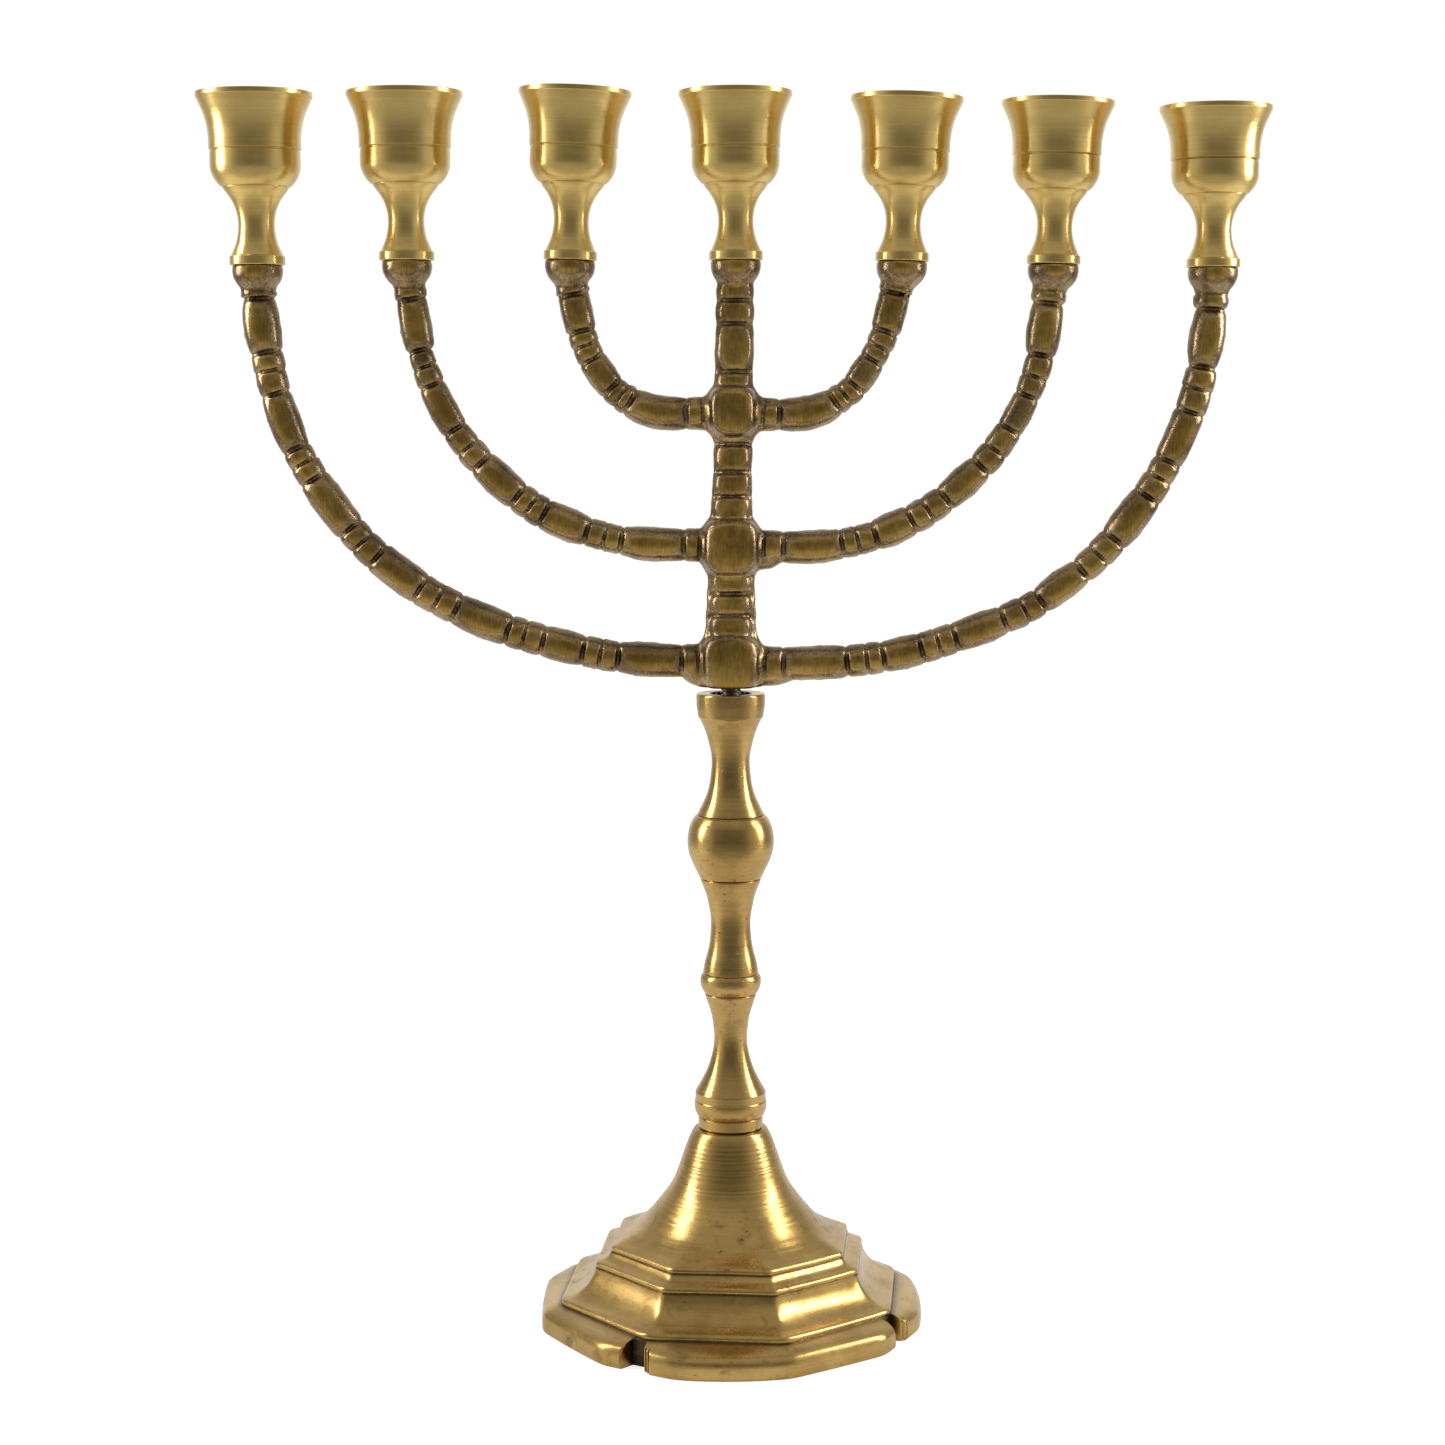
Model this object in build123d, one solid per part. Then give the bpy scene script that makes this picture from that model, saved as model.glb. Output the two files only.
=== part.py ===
from build123d import *
import math
import os

# Seven-branched candelabrum in cast and turned brass.
# Frame: origin at the middle of the foot's underside, +Z up, +X along the row of
# branches, -Y towards the front. Millimetres.

# ---------------------------------------------------------------- driving sizes
foot_turn_deg = -5.2          # the foot and stem are screwed up slightly out of line with the branches
foot_corner_r = 57.6          # octagon corner radius near the table
foot_blunt_deg = 11.5         # half angle of the blunted corners that carry the notches
foot_front_swell = 3.6        # the front side of the band swells more than the others
wall_t = 3.4                  # wall of the hollow foot casting

rod_r = 3.0                   # M6 tie rod
rod_clear_r = 3.3             # drilled way for the rod
rod_thread_r = 3.05           # running fit that stands for an M6 thread
rod_bottom_z = 33.0
rod_top_z = 200.0
m6_pitch = 1.0

washer_r = 8.0
washer_t = 1.5
nut_af = 10.0                 # across flats
nut_t = 5.0
foot_ceiling_z = 44.0         # inside face of the foot that the washer bears on

bell_top_z = 56.6
neck_collar_top_z = 60.2
ring_bottom_z = 96.5
ring_top_z = 102.4
knop_bottom_z = 130.4
knop_top_z = 148.9
stem_top_z = 184.2
stem_bore_r = 5.85            # counterbore in the top of the stem
stem_bore_depth = 9.0

head_bottom_z = 186.0         # flat underside of the lowest hub
hub_z = (193.2, 226.7, 264.8)
hub_x = (0.1, 0.1, 0.6)
hub_half_h = (8.3, 7.3, 6.6)
hub_r = (9.6, 9.5, 9.1)
hub_flat_y = (7.2, 7.2, 7.5)  # front and back of the hubs are dressed flat
bead_flat_y = 4.05            # and so are the beads
groove_r = 3.75
long_bead_r = 4.75
small_bead_r = 4.95
neck_r = 3.9
shaft_r = 5.6
shaft_groove_r = 4.9

bulb_r = 7.2                  # socket under each cup
bulb_h = 7.3
stud_r = 2.0                  # M4 stud of each cup
stud_hole_r = 2.05
stud_down = 9.0
stud_up = 7.0
m4_pitch = 0.7
seat_gap = 0.1                # cup collar above the socket

candle_bore_r = 11.25         # for 22 mm candles
candle_floor = 25.9
candle_straight_top = 37.0

cup_x = (-133.7, -91.5, -45.4, 1.4, 48.3, 91.1, 136.2)
cup_z = (305.6, 306.9, 307.0, 307.0, 306.7, 305.9, 305.0)
cup_lean_deg = (-0.2, -0.2, 2.1, -0.2, 1.5, 1.0, -0.1)   # hand-finished sockets are not quite upright
cup_h = (47.9, 46.9, 47.2, 46.9, 45.7, 45.3, 44.7)
cup_k = (1.02, 1.02, 0.99, 1.0, 0.99, 0.985, 0.98)       # small differences in turned diameter

# branch centre lines (X, Z) from the socket down and in to the hub
outer_right = [(136.1, 298.0), (135.6, 290.0), (134.0, 281.2), (127.9, 258.8), (117.1, 238.3),
               (102.0, 220.8), (83.4, 207.7), (62.3, 199.8), (41.8, 194.8), (21.1, 193.1), (6.0, 193.2)]
outer_left = [(-133.8, 298.6), (-133.3, 290.0), (-131.7, 281.2), (-125.8, 258.7), (-114.2, 238.6),
              (-98.7, 221.6), (-79.8, 209.0), (-59.3, 200.8), (-38.8, 195.8), (-18.6, 193.6), (-6.0, 193.2)]
middle_right = [(91.0, 298.6), (90.3, 292.5), (86.2, 274.4), (79.5, 259.9), (69.5, 247.5),
                (57.9, 237.7), (44.3, 230.8), (29.7, 227.2), (15.2, 226.5), (6.0, 226.7)]
middle_left = [(-91.6, 299.4), (-90.6, 293.0), (-85.7, 273.4), (-78.1, 259.0), (-67.8, 247.0),
               (-55.8, 237.3), (-41.8, 230.8), (-27.1, 227.6), (-12.6, 226.9), (-6.0, 226.7)]
inner_right = [(48.0, 299.4), (46.6, 293.5), (44.6, 287.6), (41.4, 280.9), (37.3, 274.4),
               (31.5, 268.9), (24.2, 265.2), (16.3, 264.2), (6.0, 264.7)]
inner_left = [(-45.6, 299.6), (-44.4, 293.5), (-42.9, 288.2), (-40.1, 281.0), (-35.8, 274.1),
              (-29.7, 268.4), (-21.8, 265.0), (-13.9, 264.4), (-5.0, 264.7)]

os.makedirs("parts", exist_ok=True)


def save(solid, name, color):
    solid.label = name
    solid.color = color
    export_step(solid, f"parts/{name}.step")


def turned(*runs):
    """Solid of revolution about Z. Each run is ("line", pts) or ("curve", pts) of (radius, z)."""
    edges = []
    first = last = None
    for kind, pts in runs:
        pts = ([last] if last else []) + [tuple(p) for p in pts]
        if first is None:
            first = pts[0]
        v = [(r, 0, z) for r, z in pts]
        edges += [Spline(*v)] if kind == "curve" and len(v) > 2 else Polyline(*v).edges()
        last = pts[-1]
    if math.dist(first, last) > 1e-6:
        edges.append(Line((last[0], 0, last[1]), (first[0], 0, first[1])))
    return revolve(Face(Wire(edges)), Axis.Z, 360)


def ring(r_in, r_out, z0, z1):
    return turned(("line", [(r_in, z0), (r_out, z0), (r_out, z1), (r_in, z1)]))


def octagon(r, z, turn=0.0):
    pts = []
    for k in range(8):
        a = math.radians(22.5 + 45 * k + turn)
        pts.append((r * math.cos(a), r * math.sin(a), z))
    return Face(Wire(Polyline(*pts, pts[0]).edges()))


def foot_outline(r, z, blunt, swell):
    """The octagon of the foot with its four notched corners blunted, and its sides swelled a little."""
    def at(deg, rad):
        return (rad * math.cos(math.radians(deg)), rad * math.sin(math.radians(deg)))

    pts = []
    for k in range(4):
        a = 22.5 + 90 * k
        side = r * math.cos(math.radians(22.5)) / math.cos(math.radians(22.5 - blunt))
        rb = side + (r - side) * min(1.0, blunt / foot_blunt_deg)
        v0, v1, c, v2 = at(a - blunt, rb), at(a + blunt, rb), at(a + 45, r), at(a + 90 - blunt, rb)
        front = foot_front_swell if k == 2 else 1.0
        m1 = [(p + q) / 2 * (1 + swell * front) for p, q in zip(v1, c)]
        m2 = [(p + q) / 2 * (1 + swell) for p, q in zip(c, v2)]
        pts += [(*q, z) for q in (v0, v1, m1, c, m2)]
    return Face(Wire(Polyline(*pts, pts[0]).edges()))


# ---------------------------------------------------------------- foot
# tiers from the table up: (corner radius, z); the lowest ones form the band, which is blunt at its notched corners
band = [(foot_corner_r - 0.6, 0.0, foot_blunt_deg, 0.012), (foot_corner_r, 1.0, foot_blunt_deg, 0.014),
        (foot_corner_r - 0.3, 3.6, foot_blunt_deg, 0.012), (55.4, 6.6, 11.0, 0.008), (52.6, 7.7, 0.8, 0.0),
        (51.2, 8.3, 0.8, 0.0)]
tiers = [(51.2, 8.3), (50.7, 9.4),
         (48.1, 10.1), (45.7, 11.4), (43.9, 13.0), (42.5, 14.8), (41.5, 16.6), (40.9, 18.4),
         (40.4, 19.6), (38.2, 20.5), (36.9, 21.5), (36.2, 22.6), (35.9, 23.8), (34.6, 24.4)]
tier_body = loft([octagon(r, z) for r, z in tiers], ruled=True) + loft([foot_outline(*t) for t in band], ruled=True)
bell = turned(
    ("line", [(0, 22.0), (33.2, 22.0), (33.2, 24.1)]),
    ("curve", [(31.4, 25.0), (27.0, 28.0), (23.6, 31.6), (21.3, 34.5), (18.8, 37.5), (17.0, 40.5),
               (15.7, 43.5), (14.66, 46.5), (13.5, 49.5), (12.6, 52.5), (11.1, 55.5), (10.2, bell_top_z)]),
    ("line", [(0, bell_top_z)]),
)
cavity_tiers = [(53.0, -1.0), (53.0, 3.0), (50.4, 4.6), (46.0, 6.3), (42.6, 8.2), (40.0, 11.5),
                (37.6, 14.6), (34.0, 17.6), (30.8, 20.0)]
cavity = loft([octagon(r, z) for r, z in cavity_tiers], ruled=True)
for k in (0, 2, 4, 6):
    cavity -= Rot(0, 0, 22.5 + 45 * k) * (Pos(52.0, 0, 2.6) * Box(7.4, 13.0, 11.0))
cavity += turned(("line", [(0, 19.0), (28.0, 19.0)]),
                 ("curve", [(23.6, 22.4), (19.4, 27.0), (16.2, 31.6), (13.4, 36.5), (11.4, 40.5), (9.6, foot_ceiling_z)]),
                 ("line", [(0, foot_ceiling_z)]))
foot = tier_body + bell - cavity
foot -= ring(0, rod_clear_r, foot_ceiling_z - 1, bell_top_z + 1)
# alternate corners of the foot band have a square notch, and each side of it ends in a thin reed
for k in (0, 2, 4, 6):
    a = 22.5 + 45 * k
    notch = Pos(56.0, 0, 3.2) * Box(9.0, 4.8, 9.0) + Pos(58.0, 0, 3.2) * Box(8.0, 7.4, 9.0)
    foot -= Rot(0, 0, a) * notch
foot = Rot(0, 0, foot_turn_deg + 45) * foot

# ---------------------------------------------------------------- stem, bottom to top
neck_collar = turned(("line", [(rod_clear_r, bell_top_z), (9.1, bell_top_z), (9.4, bell_top_z + 0.5),
                               (9.4, neck_collar_top_z), (rod_clear_r, neck_collar_top_z)]))

stem_lower = turned(
    ("line", [(rod_clear_r, neck_collar_top_z), (9.6, neck_collar_top_z)]),
    ("curve", [(10.2, 61.4), (10.53, 63.2), (10.53, 64.6)]),
    ("line", [(10.3, 64.8), (10.3, 67.4), (9.9, 68.0)]),
    ("curve", [(9.35, 69.0), (7.74, 72.0), (6.43, 75.0), (5.55, 78.0), (4.96, 81.0), (4.81, 83.9),
               (5.1, 86.9), (5.54, 89.9), (6.41, 92.8), (7.43, 95.8)]),
    ("line", [(7.55, ring_bottom_z), (rod_clear_r, ring_bottom_z)]),
)

stem_ring = turned(
    ("line", [(rod_clear_r, ring_bottom_z), (7.7, ring_bottom_z)]),
    ("curve", [(8.6, 98.4), (8.9, 100.2), (8.6, 101.7)]),
    ("line", [(8.3, ring_top_z), (rod_clear_r, ring_top_z)]),
)

stem_middle = turned(
    ("line", [(rod_clear_r, ring_top_z), (8.05, ring_top_z), (8.05, 103.2)]),
    ("curve", [(7.41, 106.2), (6.6, 109.1), (6.1, 111.8), (5.8, 115.0), (5.8, 119.0), (6.38, 122.4),
               (7.2, 125.9), (8.12, 128.3), (8.7, 129.7)]),
    ("line", [(8.9, knop_bottom_z), (rod_clear_r, knop_bottom_z)]),
)

stem_knop = turned(
    ("line", [(rod_clear_r, knop_bottom_z), (8.8, knop_bottom_z)]),
    ("curve", [(9.85, 132.7), (11.29, 135.6), (12.2, 138.5), (12.48, 141.5), (12.15, 144.4),
               (11.13, 147.3), (10.0, knop_top_z)]),
    ("line", [(rod_clear_r, knop_top_z)]),
)

stem_upper = turned(
    ("line", [(rod_clear_r, knop_top_z), (9.8, knop_top_z)]),
    ("curve", [(8.38, 151.7), (7.07, 154.6), (6.21, 157.5), (5.77, 160.4), (5.48, 163.9), (5.62, 166.7),
               (6.2, 169.4), (6.91, 172.1), (7.92, 175.0), (9.21, 177.6), (9.75, 179.9), (9.9, 181.6)]),
    ("line", [(9.9, stem_top_z - 0.3), (9.6, stem_top_z), (stem_bore_r, stem_top_z),
              (stem_bore_r, stem_top_z - stem_bore_depth), (rod_clear_r, stem_top_z - stem_bore_depth)]),
)

# ---------------------------------------------------------------- rod, nuts and washer
tie_rod = turned(("line", [(0, rod_bottom_z), (rod_r - 0.5, rod_bottom_z), (rod_r, rod_bottom_z + 0.5),
                           (rod_r, rod_top_z - 0.5), (rod_r - 0.5, rod_top_z), (0, rod_top_z)]))


def hex_nut(z0):
    body = extrude(Pos(0, 0, z0) * RegularPolygon(radius=nut_af / 2, side_count=6, major_radius=False), nut_t)
    lens = turned(("line", [(0, z0), (nut_af / 2, z0), (nut_af / 2 + 0.8, z0 + 0.5),
                            (nut_af / 2 + 0.8, z0 + nut_t - 0.5), (nut_af / 2, z0 + nut_t), (0, z0 + nut_t)]))
    return (body & lens) - ring(0, rod_thread_r, z0 - 1, z0 + nut_t + 1)


base_washer = ring(rod_r + 0.2, washer_r, foot_ceiling_z - washer_t, foot_ceiling_z)
base_nut = hex_nut(foot_ceiling_z - washer_t - nut_t)
lock_nut = hex_nut(stem_top_z - stem_bore_depth)

# ---------------------------------------------------------------- branches
def pattern(n_long):
    """Bead lengths along one branch from the socket inwards: neck, then long beads parted by pairs."""
    seq = [("neck", 0.9)]
    for k in range(n_long):
        seq.append(("long", 3.5))
        if k < n_long - 1:
            seq += [("small", 1.05), ("small", 1.05)]
    seq.append(("small", 1.1))
    return seq


def branch(points, n_long):
    path = Spline(*[(x, 0, z) for x, z in points])
    seq = pattern(n_long)
    total = sum(w for _, w in seq) + 0.6
    stations = [(0.0, neck_r)]
    t = 0.0
    for kind, w in seq:
        a, b = t / total, (t + w) / total
        d = b - a
        if kind == "long":
            stations += [(a + 0.02 * d, groove_r), (a + 0.16 * d, 4.45), (a + 0.38 * d, long_bead_r),
                         (a + 0.62 * d, long_bead_r), (a + 0.84 * d, 4.45), (a + 0.98 * d, groove_r)]
        elif kind == "small":
            stations += [(a + 0.06 * d, groove_r), (a + 0.3 * d, small_bead_r - 0.15),
                         (a + 0.7 * d, small_bead_r - 0.15), (a + 0.94 * d, groove_r)]
        else:
            stations += [(a + 0.5 * d, neck_r + 0.5), (a + 0.94 * d, groove_r)]
        t += w
    stations.append((1.0, 4.6))
    sections = []
    for s, r in stations:
        pl = Plane(origin=path @ s, z_dir=path % s)
        sections.append((pl * Circle(r)).faces()[0])
    return loft(sections, ruled=True)


def seat(i):
    return Plane(origin=(cup_x[i], 0, cup_z[i]),
                 z_dir=(math.sin(math.radians(cup_lean_deg[i])), 0, math.cos(math.radians(cup_lean_deg[i]))),
                 x_dir=(math.cos(math.radians(cup_lean_deg[i])), 0, -math.sin(math.radians(cup_lean_deg[i]))))


branches = [branch(outer_right, 7), branch(outer_left, 7), branch(middle_right, 5), branch(middle_left, 5),
            branch(inner_right, 3), branch(inner_left, 3)]

# central shaft: beads between the hubs, a long bead and three small ones under the middle socket
shaft_marks = [(hub_z[0] + 5, 5.6), (200.6, 5.4), (201.6, 6.6), (206.4, 6.6), (207.2, 5.6), (208.0, 6.3), (212.4, 6.3),
               (213.1, 5.4), (213.9, 6.2), (217.8, 6.2), (218.6, 5.3), (234.4, 5.2), (235.2, 6.1), (239.6, 6.1),
               (240.4, 5.1), (241.2, 5.9), (246.4, 5.9), (247.2, 5.0), (248.0, 5.8), (253.6, 5.8), (254.5, 4.9),
               (255.2, 5.6), (258.0, 5.6), (259.0, 4.9), (271.0, 4.6), (272.0, 5.2), (275.2, 5.2), (276.0, 4.2),
               (277.6, 5.0), (281.0, 5.4), (286.0, 5.4), (288.6, 5.0), (289.6, 4.2), (290.4, 5.0), (294.6, 5.0),
               (295.4, 4.2), (296.2, 4.9), (299.2, 4.9), (300.0, 4.2), (301.0, 5.4)]
shaft = loft([(Pos(0.1 + max(0.0, (z - 226.7)) * 0.0162, 0, z) * Circle(r)).faces()[0] for z, r in shaft_marks], ruled=True)

casting = shaft
for b in branches:
    casting += b
slab = Box(400, 2 * bead_flat_y, 200).moved(Location((0, 0, 250)))
casting = casting & slab

hubs = []
for (x, z, h, r, fy) in zip(hub_x, hub_z, hub_half_h, hub_r, hub_flat_y):
    hub = turned(("curve", [(0, z - h), (r * 0.62, z - h * 0.86), (r * 0.93, z - h * 0.45), (r, z),
                            (r * 0.93, z + h * 0.45), (r * 0.62, z + h * 0.86), (0, z + h)]))
    hub = Pos(x, 0, 0) * hub & Pos(0, 0, 250) * Box(400, 2 * fy, 200)
    hubs.append(hub)
lowest = turned(("line", [(0, head_bottom_z), (9.0, head_bottom_z)]), ("curve", [(9.6, 189.5), (9.6, 196.0), (7.4, 200.4), (5.6, 201.4)]),
                ("line", [(0, 201.4)]))
hubs[0] = Pos(hub_x[0], 0, 0) * lowest & Pos(0, 0, 250) * Box(400, 2 * hub_flat_y[0], 200)
for h in hubs:
    casting += h

for i in range(7):
    s = turned(("line", [(0, -bulb_h - 0.6), (2.6, -bulb_h - 0.6)]),
               ("curve", [(4.2, -bulb_h + 0.4), (6.0, -bulb_h + 2.4), (6.95, -2.6), (bulb_r, 0)]),
               ("line", [(0, 0)]))
    shank = ring(0, neck_r + 0.4, -10.4, -bulb_h + 1.2)
    casting += seat(i) * (s + shank)
casting -= Pos(0, 0, head_bottom_z - 10) * Box(400, 60, 20)
for i in range(7):
    casting -= seat(i) * ring(0, stud_hole_r, -stud_down - 0.2, 1.0)
casting -= ring(0, rod_thread_r, head_bottom_z - 1, rod_top_z)

# ---------------------------------------------------------------- cups and their studs
def candle_cup(h, k):
    q = h / 46.9
    c = k

    def P(r, z):
        return (r * c, z * q)

    return turned(
        ("line", [(stud_hole_r, seat_gap), (7.45 * c, seat_gap), (7.6 * c, 0.6), P(7.5, 2.45), P(7.1, 2.7)]),
        ("curve", [P(6.6, 4.0), P(5.78, 5.7), P(5.3, 7.9), P(4.95, 10.6), P(5.1, 13.2), P(5.6, 15.2), P(6.5, 17.2),
                   P(7.7, 19.0), P(8.7, 20.4), P(9.0, 21.4)]),
        ("line", [P(9.6, 21.5)]),
        ("curve", [P(10.6, 22.5), P(11.4, 23.7), P(11.95, 24.8), P(12.3, 26.0), P(12.37, 27.6)]),
        ("line", [P(12.37, 30.9), P(12.2, 31.1), P(12.2, 31.4), P(12.62, 31.65), P(12.62, 34.6)]),
        ("curve", [P(12.9, 36.9), P(13.3, 39.0), P(13.9, 41.2), P(14.9, 43.4), P(15.95, 45.5)]),
        ("line", [P(16.1, 45.7), P(16.1, 46.9), P(14.95, 46.9)]),
        ("curve", [P(14.3, 45.5), P(13.2, 43.0), P(12.3, 40.8), (candle_bore_r + 0.25, 38.6 * q), (candle_bore_r, candle_straight_top * q)]),
        ("line", [(candle_bore_r, candle_floor * q), (0, candle_floor * q), (0, 7.4), (stud_hole_r, 7.4)]),
    )


def cup_stud():
    return turned(("line", [(0, -stud_down), (stud_r - 0.4, -stud_down), (stud_r, -stud_down + 0.4),
                            (stud_r, stud_up - 0.4), (stud_r - 0.4, stud_up), (0, stud_up)]))


# ---------------------------------------------------------------- write the pieces
antique = Color(0.55, 0.43, 0.24)
cast = Color(0.36, 0.30, 0.18)
bright = Color(0.80, 0.66, 0.36)
steel = Color(0.5, 0.5, 0.5)

save(foot, "base_foot", antique)
save(neck_collar, "neck_collar", antique)
save(stem_lower, "stem_lower_section", antique)
save(stem_ring, "stem_ring_bead", antique)
save(stem_middle, "stem_middle_section", antique)
save(stem_knop, "stem_knop", antique)
save(stem_upper, "stem_upper_section", antique)
save(tie_rod, "tie_rod", steel)
save(base_washer, "base_washer", steel)
save(base_nut, "base_nut", steel)
save(lock_nut, "stem_lock_nut", steel)
save(casting, "branch_casting", cast)
for i in range(7):
    save(seat(i) * candle_cup(cup_h[i], cup_k[i]), f"candle_cup_{i + 1}", bright)
    save(seat(i) * cup_stud(), f"cup_stud_{i + 1}", steel)
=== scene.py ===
import math

import bpy
import numpy as np
from mathutils import Matrix, Vector


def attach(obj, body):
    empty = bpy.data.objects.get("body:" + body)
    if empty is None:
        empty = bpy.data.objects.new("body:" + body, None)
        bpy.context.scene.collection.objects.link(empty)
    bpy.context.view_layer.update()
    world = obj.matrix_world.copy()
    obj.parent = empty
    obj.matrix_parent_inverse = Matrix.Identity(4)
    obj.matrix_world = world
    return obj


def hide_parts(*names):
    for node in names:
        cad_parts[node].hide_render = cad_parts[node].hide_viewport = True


# Seven-branched candelabrum: cast and turned brass. Everything below is worked out in
# millimetres in the row frame and written to the meshes in metres.
MM = 0.001
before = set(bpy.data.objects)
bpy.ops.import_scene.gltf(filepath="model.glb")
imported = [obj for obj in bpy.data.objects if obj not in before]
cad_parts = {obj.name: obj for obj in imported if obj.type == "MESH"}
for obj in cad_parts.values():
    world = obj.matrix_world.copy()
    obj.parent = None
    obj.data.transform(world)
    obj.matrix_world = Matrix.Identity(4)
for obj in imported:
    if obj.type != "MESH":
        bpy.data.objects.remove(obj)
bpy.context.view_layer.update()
SCENE = bpy.context.scene

# ------------------------------------------------------------------ sizes shared with the CAD
FOOT_TURN = math.radians(-5.2)
CUP_X = (-133.7, -91.5, -45.4, 1.4, 48.3, 91.1, 136.2)
CUP_Z = (305.6, 306.9, 307.0, 307.0, 306.7, 305.9, 305.0)
CUP_LEAN = (-0.2, -0.2, 2.1, -0.2, 1.5, 1.0, -0.1)
CUP_H = (47.9, 46.9, 47.2, 46.9, 45.7, 45.3, 44.7)
CUP_K = (1.02, 1.02, 0.99, 1.0, 0.99, 0.985, 0.98)


# ================================================================== mesh helpers
def mesh_object(name, co_mm, quads, tris=None, matrix=None):
    """A smooth-shaded mesh object from points in millimetres."""
    me = bpy.data.meshes.new(name)
    co = np.ascontiguousarray(np.asarray(co_mm, float) * MM, np.float32)
    quads = np.zeros((0, 4), int) if quads is None or not len(quads) else np.asarray(quads)
    tris = np.zeros((0, 3), int) if tris is None or not len(tris) else np.asarray(tris)
    me.vertices.add(len(co))
    me.vertices.foreach_set("co", co.ravel())
    loops = np.concatenate([quads.ravel(), tris.ravel()]).astype(np.int32)
    me.loops.add(len(loops))
    me.loops.foreach_set("vertex_index", loops)
    starts = np.concatenate([np.arange(len(quads)) * 4, len(quads) * 4 + np.arange(len(tris)) * 3]).astype(np.int32)
    me.polygons.add(len(starts))
    me.polygons.foreach_set("loop_start", starts)
    me.polygons.foreach_set("use_smooth", np.ones(len(starts), bool))
    me.update(calc_edges=True)
    me.validate()
    ob = bpy.data.objects.new(name, me)
    SCENE.collection.objects.link(ob)
    if matrix is not None:
        ob.matrix_world = matrix
    return ob


def spline(pts, step):
    """Points along a natural cubic spline through pts, about step apart."""
    p = np.asarray(pts, float)
    n = len(p)
    if n < 3:
        d = math.dist(p[0], p[-1])
        m = max(1, int(math.ceil(d / step)))
        return p[0] + (p[-1] - p[0]) * np.linspace(0, 1, m + 1)[:, None]
    t = np.r_[0, np.cumsum(np.hypot(*np.diff(p, axis=0).T))]
    h = np.diff(t)
    a = np.zeros((n, n))
    b = np.zeros((n, p.shape[1]))
    a[0, 0] = a[-1, -1] = 1
    for i in range(1, n - 1):
        a[i, i - 1], a[i, i], a[i, i + 1] = h[i - 1], 2 * (h[i - 1] + h[i]), h[i]
        b[i] = 6 * ((p[i + 1] - p[i]) / h[i] - (p[i] - p[i - 1]) / h[i - 1])
    m2 = np.linalg.solve(a, b)
    k = max(2, int(math.ceil(t[-1] / step)))
    u = np.linspace(0, t[-1], k + 1)
    i = np.clip(np.searchsorted(t, u, side="right") - 1, 0, n - 2)
    w = (u - t[i])[:, None]
    hi = h[i][:, None]
    v = (hi - w)
    return (m2[i] * v ** 3 + m2[i + 1] * w ** 3) / (6 * hi) + (p[i] / hi - m2[i] * hi / 6) * v + (p[i + 1] / hi - m2[i + 1] * hi / 6) * w


def profile(runs, edge=0.22, step=0.7, closed=True):
    """A turned outline as (r, z) points with small rounded edges. Runs are ("line", pts) or
    ("curve", pts), each starting where the last one ended; a third entry sets the rounding of its corners."""
    pts, corner = [], []
    for run in runs:
        kind, raw = run[0], [tuple(map(float, q)) for q in run[1]]
        rad = run[2] if len(run) > 2 else edge
        if pts:
            raw = [tuple(pts[-1])] + raw
        if kind == "curve" and len(raw) > 2:
            dense = spline(raw, step)
            flags = [0.0] * len(dense)
            flags[-1] = rad
            flags[0] = rad
        else:
            dense, flags = [np.array(raw[0])], [rad]
            for a, b in zip(raw[:-1], raw[1:]):
                m = max(1, int(math.ceil(math.dist(a, b) / (step * 1.8))))
                for k in range(1, m + 1):
                    dense.append(np.array(a) + (np.array(b) - np.array(a)) * k / m)
                    flags.append(rad if k == m else 0.0)
        if pts:
            corner[-1] = max(corner[-1], flags[0]) if corner[-1] else flags[0]
            dense, flags = dense[1:], flags[1:]
        pts += [tuple(q) for q in dense]
        corner += flags
    p = np.array(pts)
    out = []
    n = len(p)
    for i in range(n):
        rad = corner[i]
        if not closed and i in (0, n - 1):
            out.append(p[i])
            continue
        a, b, c = p[(i - 1) % n], p[i], p[(i + 1) % n]
        u, v = a - b, c - b
        lu, lv = np.hypot(*u), np.hypot(*v)
        if lu < 1e-6 or lv < 1e-6:
            continue
        ang = math.acos(max(-1, min(1, float(u @ v) / (lu * lv))))
        if rad <= 0 or ang > math.radians(168) or b[0] < 1e-6:
            out.append(b)
            continue
        cut = min(rad, 0.42 * lu, 0.42 * lv)
        lead = min(cut * 1.7, 0.47 * lu), min(cut * 1.7, 0.47 * lv)
        q0, q1 = b + u / lu * cut, b + v / lv * cut
        out.append(b + u / lu * lead[0])
        for s in (0.0, 0.25, 0.5, 0.75, 1.0):
            out.append((1 - s) ** 2 * q0 + 2 * s * (1 - s) * b + s * s * q1)
        out.append(b + v / lv * lead[1])
    return np.array(out)


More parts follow.
